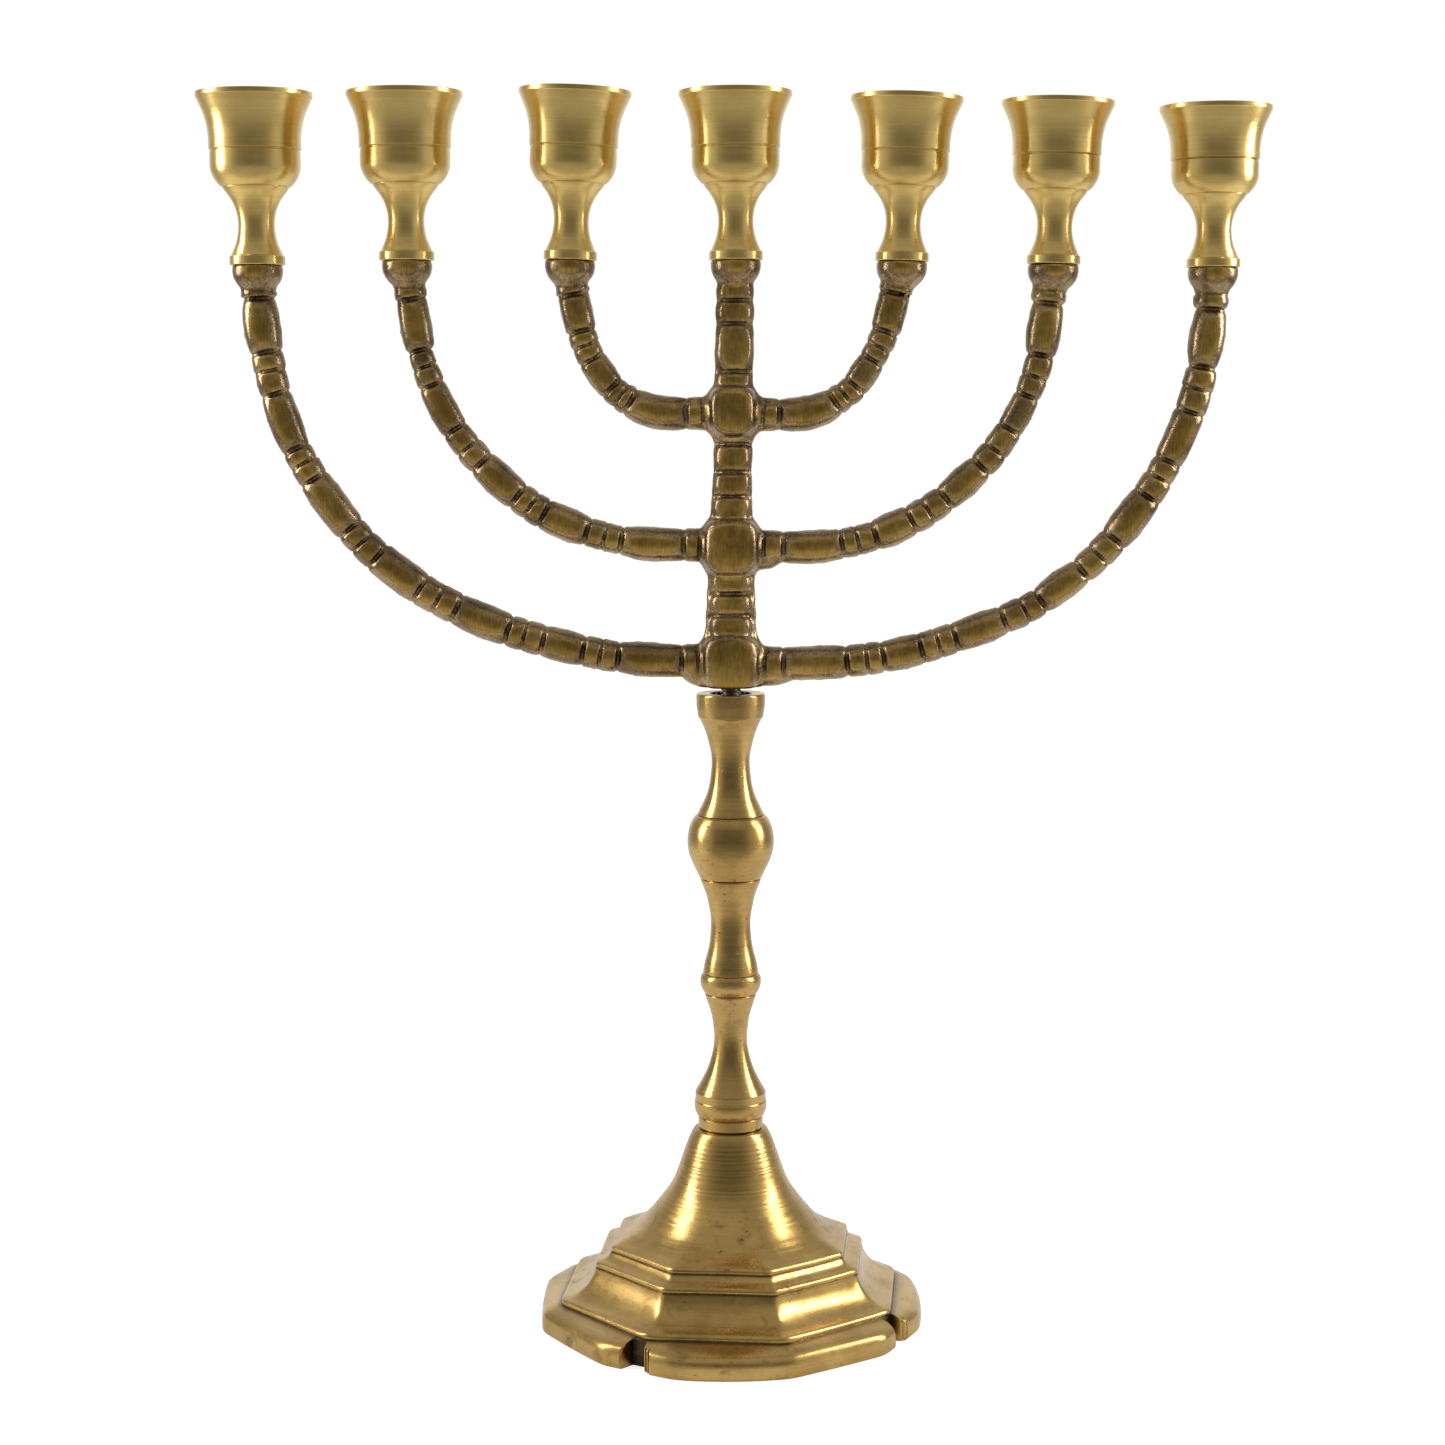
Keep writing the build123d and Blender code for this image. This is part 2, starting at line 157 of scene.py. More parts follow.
def lathe(name, prof, n=128, matrix=None, wobble=0.0, seed=0):
    """The outline turned round Z. An outline that ends on the axis closes in a fan, any other is a ring."""
    prof = np.asarray(prof, float)
    keep = np.r_[True, np.hypot(*np.diff(prof, axis=0).T) > 1e-4]
    prof = prof[keep]
    on_axis = prof[0][0] < 1e-6 and prof[-1][0] < 1e-6
    th = np.arange(n) * 2 * math.pi / n
    body = prof[1:-1] if on_axis else prof
    r = body[:, 0][:, None] * np.ones(n)
    if wobble:
        for k, (f, ph) in enumerate(((2, 0.3 + seed), (3, 1.1 + 2 * seed))):
            r = r * (1 + wobble / np.maximum(body[:, 0][:, None], 4) / (k + 1) * np.cos(f * th + ph))
    co = np.stack([r * np.cos(th), r * np.sin(th), body[:, 1][:, None] * np.ones(n)], -1).reshape(-1, 3)
    m = len(body)
    i = np.arange(m if not on_axis else m - 1)
    j = np.arange(n)
    I, J = np.meshgrid(i, j, indexing="ij")
    I2, J2 = (I + 1) % m, (J + 1) % n
    quads = np.stack([I * n + J, I * n + J2, I2 * n + J2, I2 * n + J], -1).reshape(-1, 4)
    tris = None
    if on_axis:
        a, b = m * n, m * n + 1
        co = np.vstack([co, [[0, 0, prof[0][1]], [0, 0, prof[-1][1]]]])
        tris = np.vstack([np.stack([np.full(n, a), (j + 1) % n, j], -1),
                          np.stack([np.full(n, b), (m - 1) * n + j, (m - 1) * n + (j + 1) % n], -1)])
    # outward faces: the signed volume is positive
    t = np.vstack([quads[:, [0, 1, 2]], quads[:, [0, 2, 3]]] + ([tris] if tris is not None else []))
    vol = np.einsum("ij,ij->i", co[t[:, 0]], np.cross(co[t[:, 1]], co[t[:, 2]])).sum()
    if vol < 0:
        quads = quads[:, ::-1]
        tris = None if tris is None else tris[:, ::-1]
    return mesh_object(name, co, quads, tris, matrix)


def hash01(ix, iy, iz, seed):
    with np.errstate(over="ignore"):
        h = (ix.astype(np.uint32) * np.uint32(374761393) + iy.astype(np.uint32) * np.uint32(668265263)
             + iz.astype(np.uint32) * np.uint32(2147483647) + np.uint32(seed * 974711 + 12345))
        h = (h ^ (h >> np.uint32(13))) * np.uint32(1274126177)
        h = (h ^ (h >> np.uint32(16))) * np.uint32(2246822519)
        h = h ^ (h >> np.uint32(15))
    return h.astype(np.float64) / 4294967295.0


def noise(p, seed=1):
    """Smooth value noise from -1 to 1 at points p, one lattice cell per unit."""
    p = np.asarray(p, float)
    i = np.floor(p).astype(np.int64)
    f = p - i
    u = f * f * (3 - 2 * f)
    out = 0.0
    for dx in (0, 1):
        for dy in (0, 1):
            for dz in (0, 1):
                w = (u[..., 0] if dx else 1 - u[..., 0]) * (u[..., 1] if dy else 1 - u[..., 1]) * (u[..., 2] if dz else 1 - u[..., 2])
                out = out + w * hash01(i[..., 0] + dx, i[..., 1] + dy, i[..., 2] + dz, seed)
    return out * 2 - 1


def smin(a, b, k):
    h = np.clip(0.5 + 0.5 * (b - a) / k, 0, 1)
    return b * (1 - h) + a * h - k * h * (1 - h)


def smax(a, b, k):
    return -smin(-a, -b, k)


def smooth(a, b, x):
    t = np.clip((x - a) / (b - a), 0, 1)
    return t * t * (3 - 2 * t)


def seat(i):
    """The frame of cup i: its seat on the branch, and its lean."""
    return Matrix.Translation(Vector((CUP_X[i] * MM, 0, CUP_Z[i] * MM))) @ Matrix.Rotation(math.radians(CUP_LEAN[i]), 4, "Y")


# ================================================================== materials
class Nodes:
    def __init__(self, name):
        self.mat = bpy.data.materials.new(name)
        self.mat.use_nodes = True
        self.t = self.mat.node_tree
        self.t.nodes.clear()
        self.out = self.t.nodes.new("ShaderNodeOutputMaterial")
        self.p = self.t.nodes.new("ShaderNodeBsdfPrincipled")
        self.t.links.new(self.p.outputs[0], self.out.inputs[0])
        tc = self.t.nodes.new("ShaderNodeTexCoord")
        sc = self.t.nodes.new("ShaderNodeVectorMath")
        sc.operation = "SCALE"
        sc.inputs["Scale"].default_value = 1000.0
        self.t.links.new(tc.outputs["Object"], sc.inputs[0])
        self.mm = sc.outputs[0]

    def put(self, sock, val):
        if isinstance(val, bpy.types.NodeSocket):
            self.t.links.new(val, sock)
        elif isinstance(val, (tuple, list)) and len(val) == 3 and sock.type == "RGBA":
            sock.default_value = (*val, 1)
        else:
            sock.default_value = val

    def math(self, op, a, b=0.0, c=0.0, clamp=False):
        n = self.t.nodes.new("ShaderNodeMath")
        n.operation = op
        n.use_clamp = clamp
        self.put(n.inputs[0], a)
        self.put(n.inputs[1], b)
        self.put(n.inputs[2], c)
        return n.outputs[0]

    def vec(self, op, a, b=(0, 0, 0)):
        n = self.t.nodes.new("ShaderNodeVectorMath")
        n.operation = op
        self.put(n.inputs[0], a)
        self.put(n.inputs[1], b)
        return n.outputs[0]

    def scaled(self, v, s):
        return self.vec("MULTIPLY", v, s if isinstance(s, tuple) else (s, s, s))

    def noise(self, v, scale=1.0, detail=2.0, rough=0.5, distort=0.0):
        n = self.t.nodes.new("ShaderNodeTexNoise")
        n.noise_dimensions = "3D"
        self.put(n.inputs["Vector"], v)
        n.inputs["Scale"].default_value = scale
        n.inputs["Detail"].default_value = detail
        n.inputs["Roughness"].default_value = rough
        n.inputs["Distortion"].default_value = distort
        return n.outputs[0]

    def voronoi(self, v, scale=1.0):
        n = self.t.nodes.new("ShaderNodeTexVoronoi")
        self.put(n.inputs["Vector"], v)
        n.inputs["Scale"].default_value = scale
        return n.outputs["Distance"]

    def ramp(self, fac, lo, hi, a=0.0, b=1.0, smooth=True):
        n = self.t.nodes.new("ShaderNodeMapRange")
        n.interpolation_type = "SMOOTHSTEP" if smooth else "LINEAR"
        n.clamp = True
        self.put(n.inputs["Value"], fac)
        n.inputs["From Min"].default_value = lo
        n.inputs["From Max"].default_value = hi
        n.inputs["To Min"].default_value = a
        n.inputs["To Max"].default_value = b
        return n.outputs["Result"]

    def mix(self, fac, a, b, mode="MIX"):
        n = self.t.nodes.new("ShaderNodeMix")
        n.data_type = "RGBA"
        n.blend_type = mode
        n.clamp_factor = True
        self.put(n.inputs["Factor"], fac)
        self.put(n.inputs[6], a)
        self.put(n.inputs[7], b)
        return n.outputs[2]

    def attr(self, name):
        n = self.t.nodes.new("ShaderNodeAttribute")
        n.attribute_name = name
        return n.outputs["Fac"]

    def bump(self, height, distance, strength=1.0, normal=None):
        n = self.t.nodes.new("ShaderNodeBump")
        n.inputs["Strength"].default_value = strength
        n.inputs["Distance"].default_value = distance
        self.put(n.inputs["Height"], height)
        if normal is not None:
            self.put(n.inputs["Normal"], normal)
        return n.outputs[0]

    def round_coords(self):
        """(distance from the axis, height) in millimetres, for marks that run round a turned piece."""
        s = self.t.nodes.new("ShaderNodeSeparateXYZ")
        self.put(s.inputs[0], self.mm)
        r = self.math("SQRT", self.math("ADD", self.math("MULTIPLY", s.outputs[0], s.outputs[0]),
                                        self.math("MULTIPLY", s.outputs[1], s.outputs[1])))
        c = self.t.nodes.new("ShaderNodeCombineXYZ")
        self.put(c.inputs[0], r)
        self.put(c.inputs[2], s.outputs[2])
        return c.outputs[0], r, s.outputs[2]

    def tangent_ring(self):
        n = self.t.nodes.new("ShaderNodeTangent")
        n.direction_type = "RADIAL"
        n.axis = "Z"
        return n.outputs[0]


def turned_brass(name, light, deep, tarnish, rough=(0.16, 0.28), rings=0.35, ring_depth=0.010, tarnish_at=(0.55, 0.75),
                 pits=0.70, aniso=0.45, coat=0.25, inner_dark=None, bore_shade_tone=None, inner_mix=0.65, lines=None, scuffs=0.0,
                 recess_shade=False):
    """Lathe-turned brass: fine rings round the axis, broad toning, tarnish and a few casting pits."""
    m = Nodes(name)
    rz, r, z = m.round_coords()
    fine = m.noise(m.scaled(rz, 3.2), 1.0, 3.0, 0.6)
    band = m.noise(m.scaled(rz, 0.55), 1.0, 2.0, 0.5)
    streak = m.noise(m.scaled(m.mm, (0.05, 0.05, 2.6)), 1.0, 3.0, 0.6)
    cloud = m.noise(m.mm, 0.055, 4.0, 0.55, 0.6)
    patch = m.noise(m.mm, 0.19, 5.0, 0.62, 0.4)
    speck = m.noise(m.mm, 1.15, 2.0, 0.5)
    ring = m.math("ADD", m.math("MULTIPLY", fine, 0.6), m.math("MULTIPLY", streak, 0.4))
    tone = m.ramp(m.math("ADD", m.math("MULTIPLY", cloud, 0.6), m.math("MULTIPLY", ring, 0.4)), 0.34, 0.66)
    col = m.mix(tone, deep, light)
    tar = m.math("MULTIPLY", m.ramp(patch, tarnish_at[0], tarnish_at[1]), m.ramp(ring, 0.35, 0.6, 0.55, 1.0))
    col = m.mix(m.math("MULTIPLY", tar, 0.75), col, tarnish)
    pit = m.math("MULTIPLY", m.ramp(speck, pits, pits + 0.05), m.ramp(patch, 0.48, 0.60))
    col = m.mix(pit, col, (0.05, 0.03, 0.012))
    if inner_dark is not None:
        # inside of the bore: darker; in the stem's counterbore it is painted shade, near black, and in the cup bores it
        # is mixed toward the tarnish colour
        wall_r, floor_z = inner_dark
        inside = m.math("MULTIPLY", m.math("LESS_THAN", r, wall_r), m.math("GREATER_THAN", z, floor_z))
        col = m.mix(m.math("MULTIPLY", inside, inner_mix), col, bore_shade_tone or tarnish)
    if recess_shade:
        # painted shade: near-black brown in the notch recesses, the grooves between the reeds and the undercuts under
        # the lips, and a lighter amount over the inside of the foot
        painted_dark = m.attr("recess_shade")
        col = m.mix(m.math("MULTIPLY", painted_dark, m.ramp(patch, 0.2, 0.5, 0.8, 1.0)), col, (0.045, 0.028, 0.013))
    m.put(m.p.inputs["Base Color"], col)
    m.p.inputs["Metallic"].default_value = 1.0
    rg = m.math("ADD", m.ramp(m.math("ADD", m.math("MULTIPLY", band, 0.4), m.math("MULTIPLY", patch, 0.6)), 0.35, 0.65, rough[0], rough[1]),
                m.math("MULTIPLY", tar, 0.12))
    m.put(m.p.inputs["Roughness"], m.math("ADD", rg, m.math("MULTIPLY", pit, 0.3)))
    m.p.inputs["Anisotropic"].default_value = aniso
    m.p.inputs["Anisotropic Rotation"].default_value = 0.25
    m.put(m.p.inputs["Tangent"], m.tangent_ring())
    m.p.inputs["Coat Weight"].default_value = coat
    m.p.inputs["Coat Roughness"].default_value = 0.18
    h = m.math("ADD", m.math("MULTIPLY", ring, rings), m.math("MULTIPLY", band, 0.25))
    h = m.math("SUBTRACT", h, m.math("MULTIPLY", pit, 1.6))
    if lines:
        # feed marks of the turning tool, about a millimetre apart
        depth, above = lines
        run = m.math("ADD", m.math("MULTIPLY", z, 5.6), m.math("MULTIPLY", r, 2.2))
        drift = m.math("MULTIPLY", m.noise(m.scaled(rz, 0.22), 1.0, 1.0, 0.5), 22.0)
        feed = m.math("SINE", m.math("ADD", run, drift))
        gate = m.ramp(z, above, above + 2.0)
        h = m.math("ADD", h, m.math("MULTIPLY", m.math("MULTIPLY", feed, gate), depth * 0.5))
    if scuffs:
        nick = m.math("MULTIPLY", m.ramp(m.noise(m.scaled(m.mm, (0.55, 0.55, 1.5)), 1.0, 2.0, 0.6, 0.8), 0.66, 0.72), scuffs)
        h = m.math("SUBTRACT", h, nick)
    m.put(m.p.inputs["Normal"], m.bump(h, ring_depth * MM, 1.0))
    return m.mat


def cast_brass(name):
    """Sand-cast arms: dark patina in the grooves, rough grainy sides, rubbed edges and brushed flats."""
    m = Nodes(name)
    flat, cav, edge = m.attr("flat"), m.attr("cav"), m.attr("edge")
    brushed = m.noise(m.scaled(m.mm, (2.6, 0.5, 0.30)), 1.0, 3.0, 0.65)
    grain = m.noise(m.mm, 1.5, 4.0, 0.65)
    lumps = m.noise(m.mm, 0.5, 3.0, 0.55)
    cloud = m.noise(m.mm, 0.085, 4.0, 0.55, 0.5)
    fine = m.noise(m.mm, 3.6, 2.0, 0.6)
    side = m.mix(m.ramp(m.math("ADD", m.math("MULTIPLY", grain, 0.5), m.math("MULTIPLY", cloud, 0.5)), 0.40, 0.60),
                 (0.175, 0.115, 0.058), (0.41, 0.285, 0.145))
    win = m.mix(m.ramp(m.math("ADD", m.math("MULTIPLY", brushed, 0.45), m.math("MULTIPLY", cloud, 0.55)), 0.38, 0.62),
                (0.42, 0.245, 0.056), (0.72, 0.455, 0.108))
    col = m.mix(flat, side, win)
    worn = m.math("MULTIPLY", edge, m.ramp(lumps, 0.38, 0.62, 0.15, 0.9))
    col = m.mix(m.math("MULTIPLY", worn, 0.35), col, (0.70, 0.48, 0.18))
    dirt = m.math("MULTIPLY", cav, m.ramp(grain, 0.3, 0.6, 1.0, 0.75))
    col = m.mix(m.math("MULTIPLY", dirt, 0.95), col, (0.030, 0.018, 0.008))
    speck = m.math("MULTIPLY", m.ramp(fine, 0.62, 0.70), m.math("SUBTRACT", 1.0, m.math("MULTIPLY", flat, 0.7)))
    col = m.mix(m.math("MULTIPLY", speck, 0.55), col, (0.045, 0.028, 0.014))
    m.put(m.p.inputs["Base Color"], col)
    m.p.inputs["Metallic"].default_value = 1.0
    rg = m.math("ADD", m.ramp(lumps, 0.35, 0.65, 0.21, 0.33), m.math("MULTIPLY", dirt, 0.3))
    m.put(m.p.inputs["Roughness"], m.math("SUBTRACT", rg, m.math("MULTIPLY", worn, 0.05)))
    m.p.inputs["Coat Weight"].default_value = 0.18
    m.p.inputs["Coat Roughness"].default_value = 0.14
    rough_side = m.math("MULTIPLY", m.math("ADD", m.math("MULTIPLY", grain, 1.0), m.math("MULTIPLY", fine, 0.25)),
                        m.math("SUBTRACT", 1.0, m.math("MULTIPLY", edge, 0.8)))
    h = m.math("ADD", m.math("MULTIPLY", rough_side, m.math("SUBTRACT", 1.0, m.math("MULTIPLY", flat, 0.90))),
               m.math("MULTIPLY", brushed, 0.12))
    m.put(m.p.inputs["Normal"], m.bump(h, 0.05 * MM, 1.0))
    return m.mat


def steel_finish(name):
    m = Nodes(name)
    grain = m.noise(m.mm, 1.3, 3.0, 0.6)
    cloud = m.noise(m.mm, 0.25, 3.0, 0.6)
    col = m.mix(m.ramp(cloud, 0.38, 0.62), (0.30, 0.29, 0.27), (0.52, 0.51, 0.49))
    col = m.mix(m.ramp(grain, 0.60, 0.72, 0.0, 0.8), col, (0.16, 0.09, 0.045))
    m.put(m.p.inputs["Base Color"], col)
    m.p.inputs["Metallic"].default_value = 1.0
    m.put(m.p.inputs["Roughness"], m.ramp(grain, 0.35, 0.65, 0.25, 0.45))
    m.put(m.p.inputs["Normal"], m.bump(grain, 0.02 * MM, 1.0))
    return m.mat


BRIGHT = turned_brass("bright_turned_brass", (0.86, 0.635, 0.235), (0.72, 0.495, 0.155), (0.34, 0.205, 0.070),
                      rough=(0.27, 0.34), rings=0.25, ring_depth=0.005, tarnish_at=(0.63, 0.80), pits=0.735, aniso=0.60, coat=0.15,
                      inner_dark=(11.9, 25.5), lines=(0.7, -1.0))
# the stem's near-black bore tone is painted shade inside the counterbore at its top
STEM = turned_brass("antique_turned_brass", (0.62, 0.405, 0.135), (0.42, 0.262, 0.082), (0.22, 0.130, 0.044),
                    rough=(0.23, 0.31), rings=0.40, ring_depth=0.008, tarnish_at=(0.55, 0.76), pits=0.66, aniso=0.68, coat=0.20,
                    scuffs=2.0, inner_dark=(6.2, 174.0), bore_shade_tone=(0.05, 0.032, 0.016), inner_mix=0.95)
# the foot carries painted shade in its notches, under its lips and inside
FOOT = turned_brass("antique_cast_foot", (0.62, 0.405, 0.128), (0.42, 0.260, 0.078), (0.20, 0.118, 0.040),
                    rough=(0.24, 0.33), rings=0.5, ring_depth=0.014, tarnish_at=(0.54, 0.74), pits=0.67, aniso=0.45, coat=0.25,
                    lines=(2.0, 24.5), recess_shade=True)
CAST = cast_brass("cast_dark_brass")
STEEL = steel_finish("zinc_steel")


def dress(ob, mat, body, slot, *nodes):
    ob.data.materials.clear()
    ob.data.materials.append(mat)
    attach(ob, body)
    if nodes:
        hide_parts(*nodes)
    return ob


# ================================================================== candle cups
def cup_mesh(i):
    """The cup is turned from one piece: outside, rim, candle bore, and the blind stud hole in its foot."""
    h, k = CUP_H[i], CUP_K[i]
    q = h / 46.9

    def P(r, z):
        return (r * k, z * q)

    prof = profile([
        ("line", [(0.0, 7.4), (2.05, 7.4), (2.05, 0.10), (7.40 * k, 0.10), (7.60 * k, 0.32)], 0.10),
        ("line", [P(7.60, 2.45), P(7.22, 2.64)], 0.16),
        ("curve", [P(6.85, 3.3), P(6.35, 4.5), P(5.78, 5.9), P(5.27, 7.9), P(4.95, 10.6), P(5.08, 13.0), P(5.55, 15.1),
                   P(6.4, 17.2), P(7.65, 19.2), P(8.75, 20.6), P(9.12, 21.2)], 0.12),
        ("line", [P(9.12, 21.36), P(9.62, 21.50)], 0.10),
        ("curve", [P(10.60, 22.5), P(11.42, 23.7), P(11.98, 24.9), P(12.33, 26.2), P(12.40, 27.8)], 0.12),
        ("line", [P(12.38, 30.85), P(12.08, 31.05), P(12.08, 31.30), P(12.62, 31.46), P(12.64, 34.6)], 0.10),
        ("curve", [P(12.88, 36.9), P(13.30, 39.0), P(13.95, 41.2), P(14.90, 43.4), P(15.80, 45.42)], 0.05),
        ("line", [P(15.96, 45.62), P(15.96, 46.78), P(15.84, 46.90), P(15.00, 46.90)], 0.10),
        ("curve", [P(14.35, 45.6), P(13.2, 43.1), P(12.35, 40.8), (11.55, 38.6 * q), (11.27, 37.0 * q)], 0.2),
        ("line", [(11.27, 26.4 * q), (10.8, 25.95 * q), (0.0, 25.95 * q)], 0.25),
    ], edge=0.15, step=0.75, closed=False)
    return lathe(f"cup_turned_{i + 1}", prof, n=112, matrix=seat(i), wobble=0.03, seed=i)


for i in range(7):
    dress(cup_mesh(i), BRIGHT, f"candle_cup_{i + 1}", "bright_brass", f"candle_cup_{i + 1}")


# ================================================================== threaded pieces
def threaded(name, z0, z1, radius, pitch, cut, spans, n=28, matrix=None, step=0.14):
    """A bar with a helical thread over the given spans, chamfered at its ends."""
    rows = [z0]
    z = z0
    while z < z1 - 1e-6:
        inside = any(a - 0.01 <= z <= b + 0.01 for a, b in spans)
        z = min(z1, z + (step if inside else 2.0))
        if not inside:
            for a, b in spans:
                if rows[-1] < a < z:
                    z = a
        rows.append(z)
    rows = np.array(rows)
    th = np.arange(n) * 2 * math.pi / n
    Z, T = np.meshgrid(rows, th, indexing="ij")
    w = np.zeros_like(Z)
    for a, b in spans:
        w = np.maximum(w, smooth(a - 0.01, a + 0.6, Z) * (1 - smooth(b - 0.6, b + 0.01, Z)) if a > z0 + 1 and b < z1 - 1
                       else (smooth(a - 0.01, a + 0.6, Z) if a > z0 + 1 else (1 - smooth(b - 0.6, b + 0.01, Z) if b < z1 - 1 else 1.0)))
    ph = ((Z / pitch - T / (2 * math.pi)) % 1.0)
    tri = np.abs(ph * 2 - 1)
    tooth = np.clip((tri - 0.12) / 0.76, 0, 1)
    R = radius - cut * w * (1 - tooth)
    end = np.minimum(Z - z0, z1 - Z)
    R = np.minimum(R, radius - cut * 1.05 + end * 1.1)
    co = np.stack([R * np.cos(T), R * np.sin(T), Z], -1).reshape(-1, 3)
    m = len(rows)
    I, J = np.meshgrid(np.arange(m - 1), np.arange(n), indexing="ij")
    J2 = (J + 1) % n
    quads = np.stack([I * n + J, I * n + J2, (I + 1) * n + J2, (I + 1) * n + J], -1).reshape(-1, 4)
    co = np.vstack([co, [[0, 0, z0], [0, 0, z1]]])
    j = np.arange(n)
    tris = np.vstack([np.stack([np.full(n, m * n), (j + 1) % n, j], -1),
                      np.stack([np.full(n, m * n + 1), (m - 1) * n + j, (m - 1) * n + (j + 1) % n], -1)])
    return mesh_object(name, co, quads, tris, matrix)


dress(threaded("rod_threaded_m6", 33.0, 200.0, 3.0, 1.0, 0.55, [(33.0, 60.0), (168.0, 200.0)]), STEEL, "head_rod", "steel", "tie_rod")
for i in range(7):
    dress(threaded(f"stud_threaded_{i + 1}", -9.0, 7.0, 2.0, 0.7, 0.38, [(-9.0, 7.0)], n=24, matrix=seat(i), step=0.12),
          STEEL, f"cup_stud_{i + 1}", "steel", f"cup_stud_{i + 1}")
for node in ("base_washer", "base_nut", "stem_lock_nut"):
    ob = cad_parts[node]
    ob.data.materials.clear()
    ob.data.materials.append(STEEL)

# ================================================================== stem
CLR = 3.3
stem_parts = {
    "neck_collar": ("collar_turned", [
        ("line", [(CLR, 56.6), (8.95, 56.6), (9.4, 57.0), (9.4, 59.95), (9.15, 60.2), (CLR, 60.2)], 0.12)]),
    "stem_lower_section": ("stem_lower_turned", [
        ("line", [(CLR, 60.2), (9.45, 60.2), (9.75, 60.5)], 0.1),
        ("curve", [(10.15, 61.3), (10.48, 62.6), (10.55, 64.1)], 0.1),
        ("line", [(10.5, 64.75), (10.28, 64.95), (10.3, 67.35), (10.0, 67.85)], 0.14),
        ("curve", [(9.35, 69.0), (7.74, 72.0), (6.43, 75.0), (5.55, 78.0), (4.96, 81.0), (4.81, 83.9),
                   (5.1, 86.9), (5.54, 89.9), (6.41, 92.8), (7.38, 95.8)], 0.1),
        ("line", [(7.42, 96.28), (7.15, 96.5), (CLR, 96.5)], 0.1)]),
    "stem_ring_bead": ("stem_ring_turned", [
        ("line", [(CLR, 96.5), (7.35, 96.5), (7.75, 96.85)], 0.1),
        ("curve", [(8.45, 98.1), (8.85, 99.9), (8.75, 101.3)], 0.1),
        ("line", [(8.35, 102.15), (8.0, 102.4), (CLR, 102.4)], 0.12)]),
    "stem_middle_section": ("stem_middle_turned", [
        ("line", [(CLR, 102.4), (7.75, 102.4), (8.0, 102.62), (7.98, 103.2)], 0.1),
        ("curve", [(7.41, 106.2), (6.6, 109.1), (6.1, 111.8), (5.8, 115.0), (5.8, 119.0), (6.38, 122.4),
                   (7.2, 125.9), (8.12, 128.3), (8.66, 129.7)], 0.1),
        ("line", [(8.75, 130.18), (8.45, 130.4), (CLR, 130.4)], 0.1)]),
    "stem_knop": ("knop_turned", [
        ("line", [(CLR, 130.4), (8.6, 130.4), (9.0, 130.7)], 0.1),
        ("curve", [(9.85, 132.5), (11.29, 135.6), (12.2, 138.5), (12.48, 141.5), (12.15, 144.4),
                   (11.13, 147.3), (10.35, 148.45)], 0.1),
        ("line", [(9.85, 148.9), (CLR, 148.9)], 0.12)]),
    "stem_upper_section": ("stem_upper_turned", [
        ("line", [(CLR, 148.9), (9.3, 148.9), (9.62, 149.12)], 0.1),
        ("curve", [(8.38, 151.7), (7.07, 154.6), (6.21, 157.5), (5.77, 160.4), (5.48, 163.9), (5.62, 166.7),
                   (6.2, 169.4), (6.91, 172.1), (7.85, 174.7), (8.75, 176.6), (9.05, 177.15)], 0.1),
        ("line", [(9.32, 177.35), (9.82, 180.6), (9.9, 183.75), (9.65, 184.2), (6.1, 184.2), (5.85, 183.95),
                  (5.85, 175.2), (CLR, 175.2)], 0.16)]),
}
for node, (name, runs) in stem_parts.items():
    dress(lathe(name, profile(runs, step=0.7), n=128, wobble=0.02, seed=len(name)), STEM, "base", "antique_brass", node)


# ================================================================== foot
def octagon_radius(th, apothem, sharp):
    """Polar radius of a softly cornered octagon with face normals every 45 degrees."""
    acc = 0.0
    for k in range(8):
        c = np.maximum(np.cos(th - FOOT_TURN - k * math.pi / 4), 0)
        acc = acc + c ** sharp
    return apothem * acc ** (-1.0 / sharp)


def band_radius(th):
    """The band at the table, as a share of its corner radius: four blunted corners that carry the notches,
    four plain corners between them, and slightly swelled sides."""
    ang = [197.3, 230.6, 253.6, 287.3, 320.6, 343.8, 17.3, 50.8, 73.8, 107.3, 140.8, 163.8]
    rad = [0.995, 1.0, 1.018, 1.008, 0.995, 0.992, 1.0, 1.0, 1.0, 1.0, 1.0, 1.0]
    swell = [0.4, 0.0, 2.0, 0.3, 0.0, 1.4, 0.6, 0.0, 0.6, 0.6, 0.0, 0.6]
    p = np.array([[r * math.cos(math.radians(a)), r * math.sin(math.radians(a))] for a, r in zip(ang, rad)])
    q = np.roll(p, -1, axis=0)
    d = np.stack([np.cos(th), np.sin(th)], -1)
    acc = np.zeros(len(th))
    for a, b, sw in zip(p, q, swell):
        nrm = np.array([b[1] - a[1], a[0] - b[0]])
        nrm /= np.hypot(*nrm)
        h = float(nrm @ a)
        along = (b - a) / np.hypot(*(b - a))
        den = np.maximum(d @ nrm, 1e-3)
        u = np.clip((((d / den[:, None]) * h - (a + b) / 2) @ along) / (np.hypot(*(b - a)) / 2), -1, 1)
        acc += ((d @ nrm).clip(0) / (h + sw / 57.0 * (1 - u ** 2))) ** 170
    return acc ** (-1 / 170.0)


